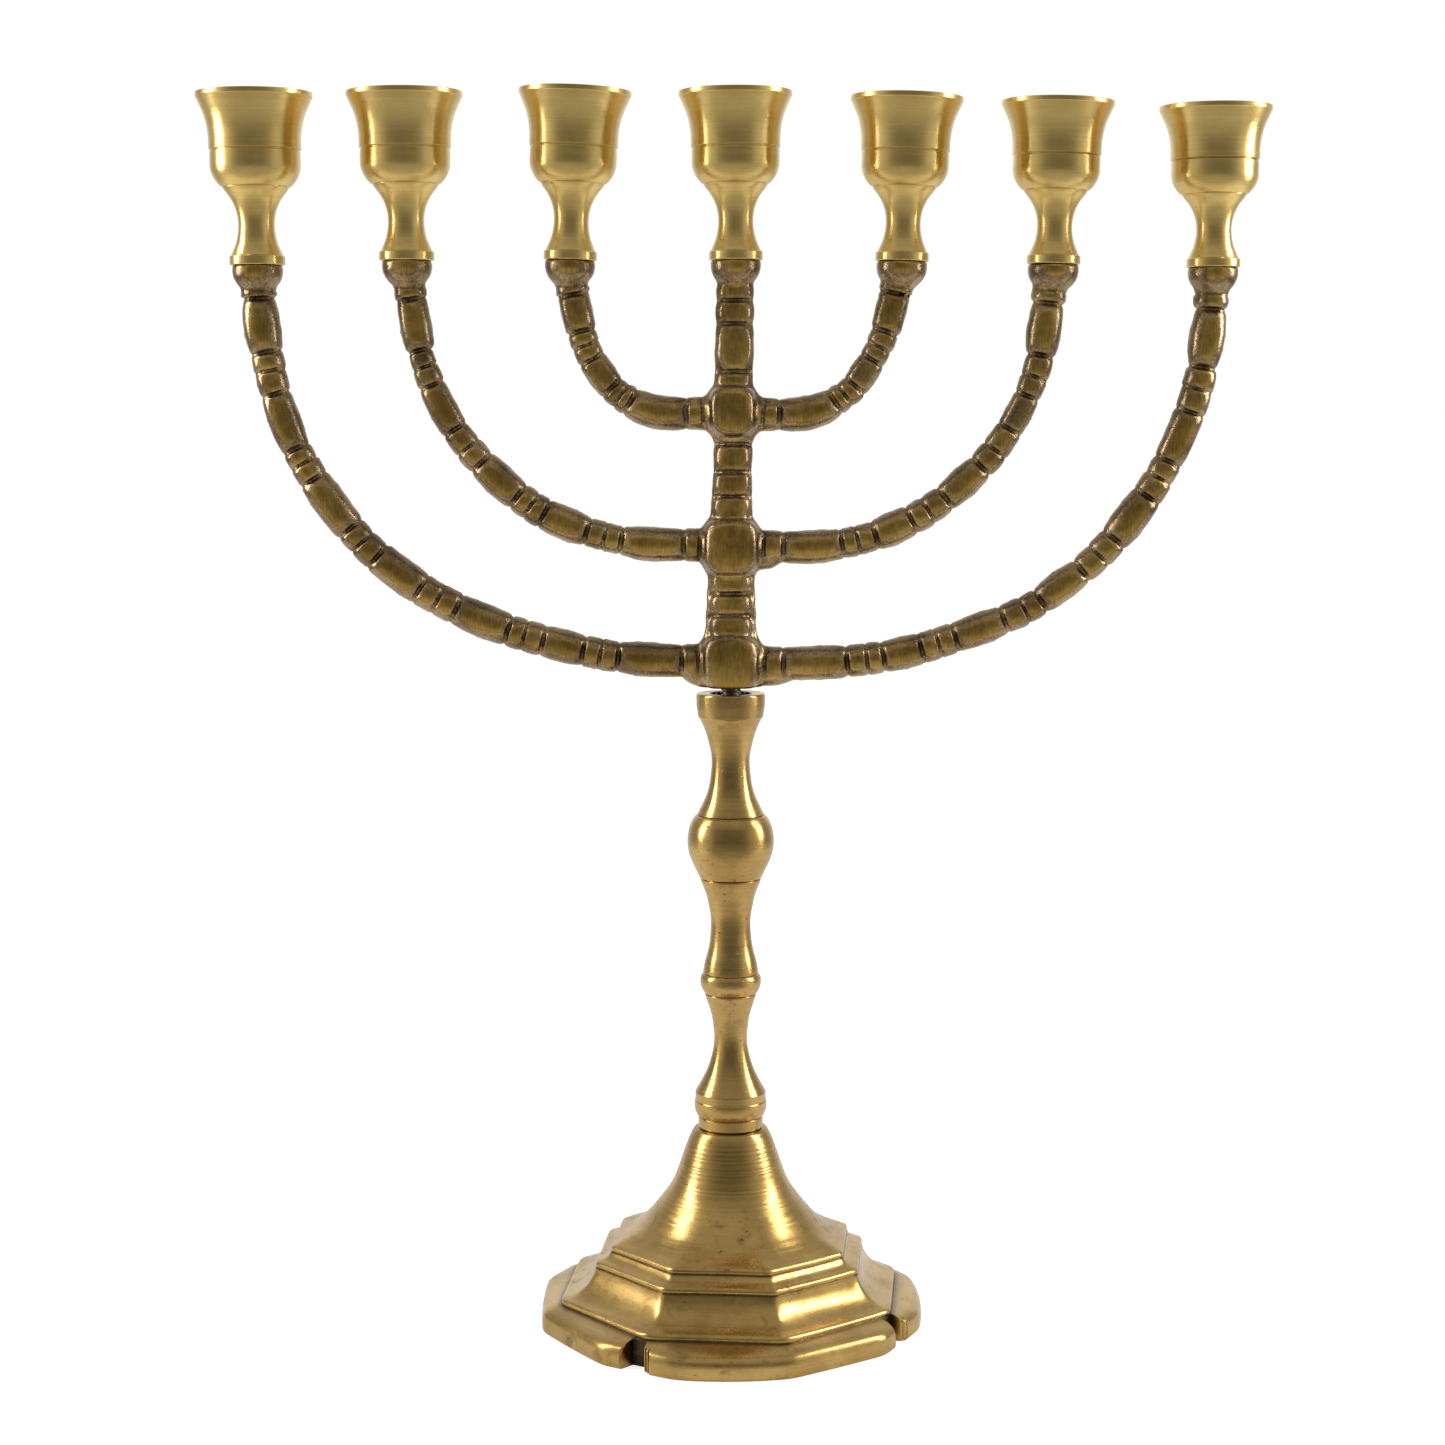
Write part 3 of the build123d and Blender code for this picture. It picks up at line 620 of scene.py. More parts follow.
def foot_mesh():
    c8 = math.cos(math.pi / 8)
    corner_angles = [FOOT_TURN + math.pi / 8 + k * math.pi / 4 for k in range(8)]
    notch_angles = [FOOT_TURN + math.radians(67.5) + k * math.pi / 2 for k in range(4)]
    # columns, closer together at the corners and closest at the notches
    cols = []
    for a in corner_angles:
        is_notch = any(abs((a - b + math.pi) % (2 * math.pi) - math.pi) < 0.01 for b in notch_angles)
        if is_notch:
            cols += [a + t / 54.0 for t in np.r_[np.linspace(-5.8, -4.0, 14), np.linspace(-3.5, 0.5, 6), np.linspace(0.7, 4.6, 35)]]
            rest = np.linspace(4.4 / 54 + 0.012, math.pi / 4 - 4.4 / 54 - 0.012, 24)
        else:
            cols += [a + t for t in np.linspace(-0.085, 0.085, 13)]
            rest = None
    th = np.array(cols)
    # fill the faces between corner clusters
    th = np.sort(th % (2 * math.pi))
    gaps = np.diff(np.r_[th, th[0] + 2 * math.pi])
    extra = []
    for t, g in zip(th, gaps):
        if g > 0.05:
            m = int(math.ceil(g / 0.036))
            extra += [t + g * q / m for q in range(1, m)]
    th = np.sort(np.r_[th, extra] % (2 * math.pi))
    n = len(th)

    outer = profile([
        ("line", [(56.2, 0.0), (56.75, 0.5)], 0.25),
        ("curve", [(56.85, 1.5), (56.78, 3.4), (56.55, 4.7), (55.95, 5.75), (55.2, 6.35)], 0.25),
        ("curve", [(54.3, 6.95), (52.8, 7.50), (51.75, 7.86)], 0.12),
        ("line", [(51.18, 7.74), (51.28, 8.22)], 0.10),
        ("curve", [(51.30, 8.72), (51.05, 9.22), (50.45, 9.56)], 0.10),
        ("curve", [(48.1, 10.1), (45.7, 11.3), (43.8, 12.9), (42.4, 14.7), (41.5, 16.5), (41.05, 17.95)], 0.10),
        ("line", [(40.72, 18.05), (41.02, 18.55)], 0.10),
        ("curve", [(41.02, 19.12), (40.72, 19.62), (40.1, 19.90)], 0.10),
        ("curve", [(38.4, 20.42), (37.1, 21.3), (36.42, 22.3)], 0.10),
        ("line", [(36.08, 22.42), (36.34, 22.9)], 0.10),
        ("curve", [(36.30, 23.45), (36.02, 23.92), (35.4, 24.2)], 0.10),
    ], edge=0.2, step=0.75, closed=False)
    dish = spline([(33.0, 24.45), (31.4, 25.15), (27.0, 28.0), (23.6, 31.4), (21.1, 34.5), (18.8, 37.5), (17.0, 40.5),
                   (15.7, 43.5), (14.66, 46.5), (13.6, 49.5), (12.55, 52.5), (11.35, 55.2), (10.75, 56.25)], 0.8)
    rows = [(r, z, 1.0, "out") for r, z in outer]
    for r, z in dish:
        w = 1 - smooth(24.3, 29.0, z)
        rows.append((r, z, w, "dish"))
    rows += [(10.5, 56.5, 0, "c"), (10.3, 56.6, 0, "c"), (8.0, 56.6, 0, "c"), (5.0, 56.6, 0, "c"), (3.5, 56.6, 0, "c"), (3.3, 56.4, 0, "c"),
             (3.3, 50.0, 0, "c"), (3.3, 44.2, 0, "c"), (3.5, 44.0, 0, "c"), (6.5, 44.0, 0, "c"), (9.3, 44.0, 0, "c")]
    inner_c = spline([(9.6, 43.8), (11.4, 40.5), (13.4, 36.5), (16.2, 31.6), (19.4, 27.0), (23.6, 22.8), (27.2, 20.4)], 1.2)
    rows += [(r, z, 0.0, "c") for r, z in inner_c]
    inner_o = spline([(31.6, 19.4), (34.0, 17.6), (37.6, 14.6), (40.0, 11.5), (42.6, 8.2), (46.0, 6.3), (50.4, 4.6), (52.6, 3.0), (53.0, 1.2)], 1.2)
    rows += [(r, z, 1.0, "in") for r, z in inner_o]
    rows += [(53.1, 0.25, 1.0, "in"), (53.35, 0.0, 1.0, "in"), (54.6, 0.0, 1.0, "out")]

    plan = band_radius(th)
    R = np.zeros((len(rows), n))
    Z = np.zeros((len(rows), n))
    # slight hand-finishing unevenness round the tiers
    wav = 0.16 * np.sin(th * 3 + 0.7) + 0.11 * np.sin(th * 5 + 2.1)
    facet = np.round((th - FOOT_TURN) / (math.pi / 4)).astype(int) % 8
    dip = np.array([0.10, -0.15, 0.20, 0.0, 0.25, -0.10, -0.30, 0.45])[facet]
    across = np.cos(np.clip((((th - FOOT_TURN) / (math.pi / 4) + 0.5) % 1.0 - 0.5) * math.pi, -math.pi / 2, math.pi / 2)) ** 0.7
    for i, (r, z, w, tag) in enumerate(rows):
        if tag == "dish":
            rho = w * octagon_radius(th, r * 0.985, 46) + (1 - w) * r
        elif w > 0:
            sharp = 90 if z > 9 else 60
            base = octagon_radius(th, r * c8, sharp)
            # keep the corners at their full reach
            full = octagon_radius(np.array([FOOT_TURN + math.pi / 8]), r * c8, sharp)[0]
            rho = base * (1 + (r / full - 1) * 0.6)
            low = 1 - smooth(6.2, 7.9, z)
            if low > 0 and tag == "out":
                rho = rho * (1 - low) + (r + 0.45) * plan * low
        else:
            rho = np.full(n, r)
        if tag == "out" and 9.6 < z < 18.0:
            rho = rho - dip * across * math.sin(math.pi * (z - 9.6) / 8.4)
        zz = np.full(n, float(z))
        if tag in ("out", "dish") and 7.5 < z < 25:
            zz = zz + wav * smooth(7.5, 10, z) * (1 - smooth(24.2, 27, z) if tag == "dish" else 1)
        if tag in ("out", "in") and z < 10:
            for a in notch_angles:
                d = (th - a + math.pi) % (2 * math.pi) - math.pi
                t = 54.0 * np.sin(d)
                near = np.abs(d) < 0.2
                lim = np.interp(t, [-5.7, -5.3, -5.0, -4.7, -4.45, -4.2, 0.85, 1.0, 1.2, 1.5, 1.8, 2.0, 2.2, 2.6, 2.95, 3.12,
                                    3.3, 3.6, 3.85, 4.1],
                                [60, 56.3, 55.5, 54.2, 52.6, 51.4, 51.4, 52.2, 53.9, 54.7, 54.7, 54.1, 54.8, 55.5, 55.4, 54.8,
                                 55.4, 56.1, 56.4, 60])
                if tag == "in":
                    lim = np.interp(t, [-8.0, -6.9, -5.8, 4.4, 5.5, 7.0], [60.0, 50.4, 48.6, 48.6, 50.4, 60.0])
                rho = np.where(near, np.minimum(rho, lim), rho)
        R[i], Z[i] = rho, zz
    co = np.stack([R * np.cos(th), R * np.sin(th), Z], -1).reshape(-1, 3)
    m = len(rows)
    I, J = np.meshgrid(np.arange(m), np.arange(n), indexing="ij")
    I2, J2 = (I + 1) % m, (J + 1) % n
    quads = np.stack([I * n + J, I * n + J2, I2 * n + J2, I2 * n + J], -1).reshape(-1, 4)
    t = np.vstack([quads[:, [0, 1, 2]], quads[:, [0, 2, 3]]])
    if np.einsum("ij,ij->i", co[t[:, 0]], np.cross(co[t[:, 1]], co[t[:, 2]])).sum() < 0:
        quads = quads[:, ::-1]
    # painted shade as a point attribute: dark in the notch recesses, the grooves between the reeds and the undercuts
    # under the lips, lighter over the inside of the foot
    painted_dark = np.zeros((m, n))
    for i, (r, z, w, tag) in enumerate(rows):
        if tag in ("out", "in") and z < 10:
            for a in notch_angles:
                d = (th - a + math.pi) % (2 * math.pi) - math.pi
                t = 54.0 * np.sin(d)
                painted_dark[i] = np.maximum(painted_dark[i], np.where(np.abs(d) < 0.2, smooth(-4.7, -4.3, t) * (1 - smooth(0.9, 1.3, t)), 0) * (z < 8.1))
                painted_dark[i] = np.maximum(painted_dark[i], np.where(np.abs(d) < 0.2, 0.8 * np.exp(-((t - 2.0) / 0.16) ** 2) + 0.8 * np.exp(-((t - 3.12) / 0.16) ** 2), 0) * (z < 7))
        if tag == "out":
            for zc in (7.80, 17.98, 22.36):
                painted_dark[i] = np.maximum(painted_dark[i], 0.75 * math.exp(-((z - zc) / 0.22) ** 2))
        if tag in ("in", "c"):
            painted_dark[i] = np.maximum(painted_dark[i], 0.35)
    ob = mesh_object("foot_casting", co, quads)
    at = ob.data.attributes.new("recess_shade", "FLOAT", "POINT")
    at.data.foreach_set("value", painted_dark.ravel().astype(np.float32))
    ob.data.set_sharp_from_angle(angle=math.radians(50))
    return ob


dress(foot_mesh(), FOOT, "base", "antique_brass", "base_foot")

# ================================================================== branch casting
PATHS = {
    "outer_right": ([(136.1, 298.0), (135.6, 290.0), (134.0, 281.2), (127.9, 258.8), (117.1, 238.3),
                     (102.0, 220.8), (83.4, 207.7), (62.3, 199.8), (41.8, 194.8), (21.1, 193.1), (6.0, 193.2)],
                    [0.0, 4.7, 21.2, 27.4, 34.2, 49.4, 54.8, 60.9, 76.2, 82.4, 88.9, 103.5, 108.8, 115.2, 130.2, 135.2, 140.2,
                     151.5, 156.2, 161.9, 180.2, 185.7]),
    "outer_left": ([(-133.8, 298.6), (-133.3, 290.0), (-131.7, 281.2), (-125.8, 258.7), (-114.2, 238.6),
                    (-98.7, 221.6), (-79.8, 209.0), (-59.3, 200.8), (-38.8, 195.8), (-18.6, 193.6), (-6.0, 193.2)],
                   [0.0, 2.2, 17.6, 22.7, 29.4, 46.0, 50.6, 55.9, 73.3, 78.4, 84.3, 99.5, 105.4, 111.2, 127.3, 132.1, 137.6,
                    149.6, 154.5, 159.7, 178.1, 182.7]),
    "middle_right": ([(91.0, 298.6), (90.3, 292.5), (86.2, 274.4), (79.5, 259.9), (69.5, 247.5),
                      (57.9, 237.7), (44.3, 230.8), (29.7, 227.2), (15.2, 226.5), (6.0, 226.7)],
                     [0.0, 3.7, 18.5, 24.7, 30.4, 41.1, 48.3, 54.3, 67.9, 73.9, 79.2, 90.5, 95.7, 100.2, 117.1, 122.8]),
    "middle_left": ([(-91.6, 299.4), (-90.6, 293.0), (-85.7, 273.4), (-78.1, 259.0), (-67.8, 247.0),
                     (-55.8, 237.3), (-41.8, 230.8), (-27.1, 227.6), (-12.6, 226.9), (-6.0, 226.7)],
                    [0.0, 3.4, 18.0, 22.8, 28.3, 42.4, 48.7, 54.3, 68.4, 72.9, 77.3, 90.6, 95.7, 100.6, 118.6, 123.2]),
    "inner_right": ([(48.0, 299.4), (46.6, 293.5), (44.6, 287.6), (41.4, 280.9), (37.3, 274.4),
                     (31.5, 268.9), (24.2, 265.2), (16.3, 264.2), (6.0, 264.7)],
                    [0.0, 1.8, 13.0, 17.6, 21.7, 30.5, 34.4, 37.7, 54.2, 59.0]),
    "inner_left": ([(-45.6, 299.6), (-44.4, 293.5), (-42.9, 288.2), (-40.1, 281.0), (-35.8, 274.1),
                    (-29.7, 268.4), (-21.8, 265.0), (-13.9, 264.4), (-5.0, 264.7)],
                   [0.0, 2.3, 12.9, 17.0, 21.3, 31.1, 34.4, 37.5, 54.0, 58.9]),
}
BEADS = {  # radius of each bead, its drift across the path, and the waist at its far end
    "outer_right": ([5.0, 5.15, 4.6, 4.51, 4.55, 4.29, 4.53, 5.0, 4.45, 4.25, 4.6, 4.19, 4.35, 4.75, 4.59, 4.65, 4.8, 4.7, 4.7, 5.0, 4.75],
                    [-.2, 0, .8, .68, .18, .05, .02, -.1, .02, .05, -.4, .05, 0, 0, .25, .45, .48, .4, .35, .25, .3],
                    [4.1, 3.85, 4.5, 4.3, 4.0, 4.1, 4.35, 4.1, 4.25, 3.75, 3.85, 4.2, 4.0, 4.15, 4.4, 4.4, 4.3, 4.55, 4.55, 4.35, 4.4]),
    "outer_left": ([5.09, 5.35, 4.7, 4.49, 4.7, 4.3, 4.48, 4.96, 4.45, 4.61, 5.05, 4.75, 4.75, 5.05, 4.74, 4.7, 4.8, 4.64, 4.6, 5.05, 4.75],
                   [.3, .4, .05, -.05, .15, .12, .15, .05, -.18, -.23, .1, .05, .15, .1, .05, .1, .1, -.05, -.25, 0, .1],
                   [4.3, 4.35, 4.4, 4.1, 3.95, 4.25, 4.4, 4.25, 4.55, 4.6, 4.6, 4.5, 4.5, 4.5, 4.6, 4.45, 4.3, 4.45, 4.25, 4.4, 4.4]),
    "middle_right": ([4.97, 4.95, 4.05, 3.9, 3.97, 4.06, 4.2, 4.5, 4.31, 4.5, 4.8, 4.35, 4.35, 4.9, 4.75],
                     [-.9, -.85, -.05, -.07, -.15, -.1, .17, -.1, -.05, .05, .1, .25, .38, .45, .4],
                     [4.3, 3.85, 3.8, 3.6, 3.85, 4.1, 3.75, 3.9, 4.2, 4.3, 4.25, 4.2, 4.2, 4.35, 4.4]),
    "middle_left": ([4.56, 4.55, 3.7, 3.85, 4.2, 4.07, 4.3, 4.8, 4.5, 4.55, 4.8, 4.24, 4.14, 4.95, 4.7],
                    [.7, .65, .2, .3, .25, -.05, -.1, -.05, -.05, -.15, .1, .05, -.15, -.3, -.1],
                    [4.2, 3.75, 3.6, 3.75, 3.75, 4.0, 4.05, 4.25, 4.4, 4.45, 4.0, 4.05, 3.95, 4.4, 4.3]),
    "inner_right": ([4.8, 4.55, 4.0, 3.9, 4.04, 4.0, 4.1, 4.95, 4.6],
                    [-1.2, -1.15, -.5, -.4, -.35, .25, .1, .4, .5],
                    [4.4, 3.95, 3.85, 3.75, 3.9, 3.85, 4.05, 4.2, 4.3]),
    "inner_left": ([4.76, 4.6, 4.1, 4.1, 4.25, 4.1, 4.25, 4.95, 4.6],
                   [.7, .65, .1, -.08, -.05, -.3, -.15, -.3, -.4],
                   [4.4, 3.95, 4.0, 4.0, 3.95, 4.0, 4.1, 4.3, 4.3]),
}
GX0, GX1, GZ0, GZ1, GY = -143.0, 145.6, 184.6, 308.8, 8.7


class Arm:
    def __init__(self, pts, marks, beads):
        size, drift, waist = (np.array(v, float) for v in beads)
        q = spline(pts, 0.4)
        # the beads wander a little off the smooth sweep
        run = np.r_[0, np.cumsum(np.hypot(*np.diff(q, axis=0).T))]
        tan = np.gradient(q, axis=0)
        tan /= np.hypot(*tan.T)[:, None]
        mids = (np.array(marks[:-1]) + np.array(marks[1:])) / 2
        q = q + np.stack([-tan[:, 1], tan[:, 0]], -1) * np.interp(run, mids, drift)[:, None]
        self.q = q
        self.seg = np.diff(q, axis=0)
        self.len = np.hypot(*self.seg.T)
        self.s = np.r_[0, np.cumsum(self.len)]
        total = self.s[-1]
        # radius along the branch, bead by bead
        s = np.arange(-6, total + 6, 0.05)
        rad = np.full(len(s), size[0] - 0.25)
        pad = np.full(len(s), 4.2)
        front = np.full(len(s), 0.3)
        for k, (a, b) in enumerate(zip(marks[:-1], marks[1:])):
            u = np.clip((s - a) / (b - a), 0, 1)
            inb = (s >= a) & (s <= b)
            mid = size[k] - 0.14
            lift = 0.12 if k % 3 == 1 else 0.20
            e0 = min((waist[k - 1] if k else waist[0]) + lift, size[k] - 0.12) - 0.17
            e1 = min(waist[k] + lift, size[k] - 0.12) - 0.17
            rim = e0 + (e1 - e0) * u
            rad = np.where(inb, rim + (mid - rim) * (1 - np.abs(2 * u - 1) ** (2.2 if k % 3 == 1 else 2.6)), rad)
            long_bead = k % 3 == 1
            half = 2.35 if long_bead else 1.95
            pad = np.where(inb, math.sqrt(mid * mid - half * half) + 0.12, pad)
            v = np.abs(2 * u - 1)
            drop = 0.30 * v ** 2 + 0.65 * smooth(0.66, 1.0, v) if long_bead else 0.55 * v ** 2 + 0.40 * smooth(0.70, 1.0, v)
            front = np.where(inb, drop, front)
        rad = np.where(s > marks[-1], 4.35, rad)
        pad = np.where(s > marks[-1], 4.0, pad)
        for k, b in enumerate(marks):
            if k == 0:
                continue
            pair = (k % 3) == 0
            dent = (0.34 if pair else 0.42) * np.exp(-((s - b) / (0.36 if pair else 0.45)) ** 2)
            rad = rad - dent
            # the front and back of the waist are chased deeper than its sides
            front = front + (0.30 if pair else 0.45) * np.exp(-((s - b) / (0.42 if pair else 0.60)) ** 2)
        self.tp, self.tf = pad, front
        self.ts, self.tr = s, rad
        # nearest sample on a coarse grid
        gx, gz = np.arange(GX0, GX1 + 1, 1.0), np.arange(GZ0, GZ1 + 1, 1.0)
        X, Z = np.meshgrid(gx, gz, indexing="ij")
        best = np.full(X.shape, 1e9, np.float32)
        idx = np.zeros(X.shape, np.int32)
        step = 6
        sub = q[::step]
        for j, (px, pz) in enumerate(sub):
            d = (X - px) ** 2 + (Z - pz) ** 2
            w = d < best
            best[w] = d[w]
            idx[w] = j * step
        for off in range(-step, step + 1):
            i = np.clip(idx + off, 0, len(q) - 1)
            # refine round the coarse winner
            d = (X - q[i, 0]) ** 2 + (Z - q[i, 1]) ** 2
            w = d < best - 1e-6
            best = np.where(w, d, best)
            if off == -step:
                fine = idx.copy()
            fine = np.where(w, i, fine)
        self.lut, self.near = fine, np.sqrt(best)

    def coarse(self, x, z):
        i = np.clip(np.rint(x - GX0).astype(int), 0, self.lut.shape[0] - 1)
        k = np.clip(np.rint(z - GZ0).astype(int), 0, self.lut.shape[1] - 1)
        return self.lut[i, k], self.near[i, k]

    def planar(self, x, z, i0):
        best = np.full(x.shape, 1e9)
        s = np.zeros(x.shape)
        n = len(self.seg)
        for off in (-3, -2, -1, 0, 1, 2):
            i = np.clip(i0 + off, 0, n - 1)
            ax, az = self.q[i, 0], self.q[i, 1]
            dx, dz = self.seg[i, 0], self.seg[i, 1]
            t = np.clip(((x - ax) * dx + (z - az) * dz) / (self.len[i] ** 2), 0, 1)
            d = (x - ax - t * dx) ** 2 + (z - az - t * dz) ** 2
            w = d < best
            best = np.where(w, d, best)
            s = np.where(w, self.s[i] + t * self.len[i], s)
        return np.sqrt(best), s


ARMS = {k: Arm(*v, BEADS[k]) for k, v in PATHS.items()}

# central shaft: (z low, z high, radius, end radius); beads between the hubs and under the middle cup
SHAFT = [(200.5, 206.5, 6.35, 5.75), (206.9, 212.7, 6.25, 5.7), (213.2, 218.8, 6.15, 5.5),
         (234.4, 240.4, 5.75, 5.2), (240.9, 247.3, 5.6, 5.05), (247.8, 255.2, 5.5, 4.95), (255.7, 259.0, 5.4, 5.0),
         (271.6, 275.6, 5.2, 4.8), (276.0, 289.2, 5.45, 4.55), (289.5, 295.6, 5.25, 4.7), (296.0, 300.4, 5.1, 4.6)]
sz = np.arange(184.0, 309.0, 0.05)
srad = np.full(len(sz), 4.9)
sfront = np.full(len(sz), 0.3)
for a, b, rm, re in SHAFT:
    u = (sz - a) / (b - a)
    inb = (sz >= a - 0.25) & (sz <= b + 0.25)
    srad = np.where(inb, re + (rm - re) * (1 - np.minimum(np.abs(2 * u - 1), 1.0) ** 2.6), srad)
    sfront = np.where(inb, 0.75 * np.minimum(np.abs(2 * u - 1), 1.0) ** 2.4, sfront)
bounds_z = sorted({round((SHAFT[k][1] + SHAFT[k + 1][0]) / 2, 2) for k in range(len(SHAFT) - 1) if SHAFT[k + 1][0] - SHAFT[k][1] < 3} | {200.4, 219.0, 234.1, 259.3, 271.2})
sdent = np.zeros(len(sz))
for b in bounds_z:
    srad = srad - 0.85 * np.exp(-((sz - b) / 0.42) ** 2)
    sdent = sdent + 0.95 * np.exp(-((sz - b) / 0.75) ** 2)
srad = np.where(sz > 300.4, 4.5, srad)
swin = np.interp(sz, [199, 220, 234, 259, 271, 300], [5.05, 4.85, 4.50, 4.35, 4.2, 4.05])
sfin = np.interp(sz, [199, 202, 207, 213, 218, 222, 233, 238, 244, 250, 257, 262, 270, 275, 284, 300],
                 [7.4, 7.3, 7.15, 6.8, 6.55, 6.5, 6.1, 5.65, 5.4, 5.35, 5.45, 5.6, 5.4, 5.3, 5.25, 5.1])

HUBS = [  # x, z, a, b, c, flat
    (0.1, 193.0, 8.6, 9.7, 8.5, 7.3),
    (0.1, 226.4, 8.4, 9.7, 8.4, 7.3),
    (0.55, 264.9, 7.0, 9.7, 7.3, 7.3),
]
BLOBS = [  # x, z, half x, half y, half z: metal left at the gates under the hubs
    (11.8, 189.5, 5.4, 3.6, 3.1), (-8.8, 189.3, 4.2, 3.6, 3.0), (10.2, 222.0, 2.8, 2.3, 2.1),
]
BULB_Z = [-9.2, -8.2, -7.2, -6.4, -5.6, -4.6, -3.4, -2.0, -0.8, 0.0, 1.5]
BULB_R = [0.5, 2.4, 3.9, 4.75, 5.5, 6.25, 6.85, 7.12, 7.10, 6.95, 6.6]


def field(x, z, y):
    """Signed distance, near enough, to the casting. x and z are columns (N,) and y is (1, M), or all three are (N,)."""
    grid = y.ndim == 2
    up = (lambda v: v[:, None]) if grid else (lambda v: v)
    n = len(x)
    shape = (n, y.shape[1]) if grid else (n,)
    D = np.full(shape, 30.0)
    yy = np.broadcast_to(y, shape) if grid else y
    ridge = np.exp(-(yy / 0.42) ** 2)
    web = np.full(n, 9.0)
    # branches
    for arm in ARMS.values():
        i0, near = arm.coarse(x, z)
        on = near < 11.5
        if not on.any():
            continue
        idx = np.nonzero(on)[0]
        rho, s = arm.planar(x[idx], z[idx], i0[idx])
        rad = np.interp(s, arm.ts, arm.tr)
        pad = np.interp(s, arm.ts, arm.tp)
        front = np.interp(s, arm.ts, arm.tf)
        web[idx] = np.minimum(web[idx], rho - 4.0)
        Y = yy[idx]
        ln = np.sqrt(up(rho) ** 2 + Y ** 2)
        d = ln - up(rad) + up(front) * (Y / np.maximum(ln, 1.0)) ** 2
        lump = 0.16 + 0.13 * np.sin(s * 0.9) * np.sin(s * 0.37 + 1.0)
        d = d - up(lump) * ridge[idx]
        d = smax(d, np.abs(Y) - up(pad + 0.15 - 0.045 * rho ** 2), 0.36)
        D[idx] = smin(D[idx], d, 1.1)
    # shaft, with the parting fins that fillet into the branches
    x0 = 0.1 + np.maximum(0, z - 226.7) * 0.0162
    near = np.abs(x - x0) < 20
    idx = np.nonzero(near & (z < 304.5))[0]
    if len(idx):
        dx = np.abs(x[idx] - x0[idx])
        Y = yy[idx]
        zi = z[idx]
        rad = np.interp(zi, sz, srad)
        ln = np.sqrt(up(dx) ** 2 + Y ** 2)
        d = ln - up(rad) + up(np.interp(zi, sz, sfront)) * (Y / np.maximum(ln, 1.0)) ** 2
        d = smax(d, np.abs(Y) - up(np.interp(zi, sz, swin) - np.interp(zi, sz, sdent) + 0.20 - 0.045 * dx ** 2), 0.55)
        side = dx - np.interp(zi, sz, sfin) - 0.10 * np.sin(zi * 1.1)
        fin = smax(up(smin(side, web[idx], 6.0)), np.abs(Y) - 1.6, 1.3)
        d = smin(d, fin, 0.9)
        d = np.maximum(d, up(zi - 303.0))
        D[idx] = smin(D[idx], d, 1.2)
    # hubs and gate metal
    for hx, hz, a, b, c, fl in HUBS:
        idx = np.nonzero((np.abs(x - hx) < 20) & (np.abs(z - hz) < 18))[0]
        if not len(idx):
            continue
        Y = yy[idx]
        px, pz = x[idx] - hx, z[idx] - hz
        k = ((up(np.abs(px) / a) ** 2.3 + (np.abs(Y) / b) ** 2.3) ** (3.4 / 2.3) + up(np.abs(pz) / c) ** 3.4) ** (1 / 3.4)
        ln = np.sqrt(up(px ** 2 + pz ** 2) + Y ** 2)
        d = ln * (1 - 1 / np.maximum(k, 1e-3))
        d = smax(d, np.abs(Y) - up(fl + 0.25 - 0.009 * px ** 2 - 0.013 * pz ** 2), 1.5)
        D[idx] = smin(D[idx], d, 1.6)
    for bx, bz, ra, rb, rc in BLOBS:
        idx = np.nonzero((np.abs(x - bx) < ra + 4) & (np.abs(z - bz) < rc + 4))[0]
        if not len(idx):
            continue
        Y = yy[idx]
        k = np.sqrt(up((x[idx] - bx) / ra) ** 2 + (Y / rb) ** 2 + up((z[idx] - bz) / rc) ** 2)
        ln = np.sqrt(up((x[idx] - bx) ** 2 + (z[idx] - bz) ** 2) + Y ** 2)
        D[idx] = smin(D[idx], ln * (1 - 1 / np.maximum(k, 1e-3)), 2.2)
    # sockets under the cups
    for i in range(7):
        l = math.radians(CUP_LEAN[i])
        idx = np.nonzero((np.abs(x - CUP_X[i]) < 13) & (z > CUP_Z[i] - 13))[0]
        if not len(idx):
            continue
        dx, dz = x[idx] - CUP_X[i], z[idx] - CUP_Z[i]
        xl, zl = dx * math.cos(l) - dz * math.sin(l), dx * math.sin(l) + dz * math.cos(l)
        Y = yy[idx]
        r = np.sqrt(up(xl) ** 2 + Y ** 2)
        rb = np.interp(zl, BULB_Z, BULB_R) * (1.0 + 0.008 * math.sin(5.0 * i))
        slope = np.abs(np.gradient(BULB_R, BULB_Z))
        d = (r - up(rb)) * up(1 / np.sqrt(1 + np.interp(zl, BULB_Z, slope) ** 2))
        d = smin(D[idx], d, 0.8)
        d = smax(d, up(zl), 0.22)
        hole = np.maximum(r - 2.20, up(-9.2 - zl))
        D[idx] = np.maximum(d, -hole)
    # flat underside and the blind hole for the rod
    D = smax(D, up(186.0 - z), 0.25)
    r = np.sqrt(up(x) ** 2 + yy ** 2)
    hole = np.maximum(r - 3.13, up(z - 200.2))
    return np.maximum(D, -hole)


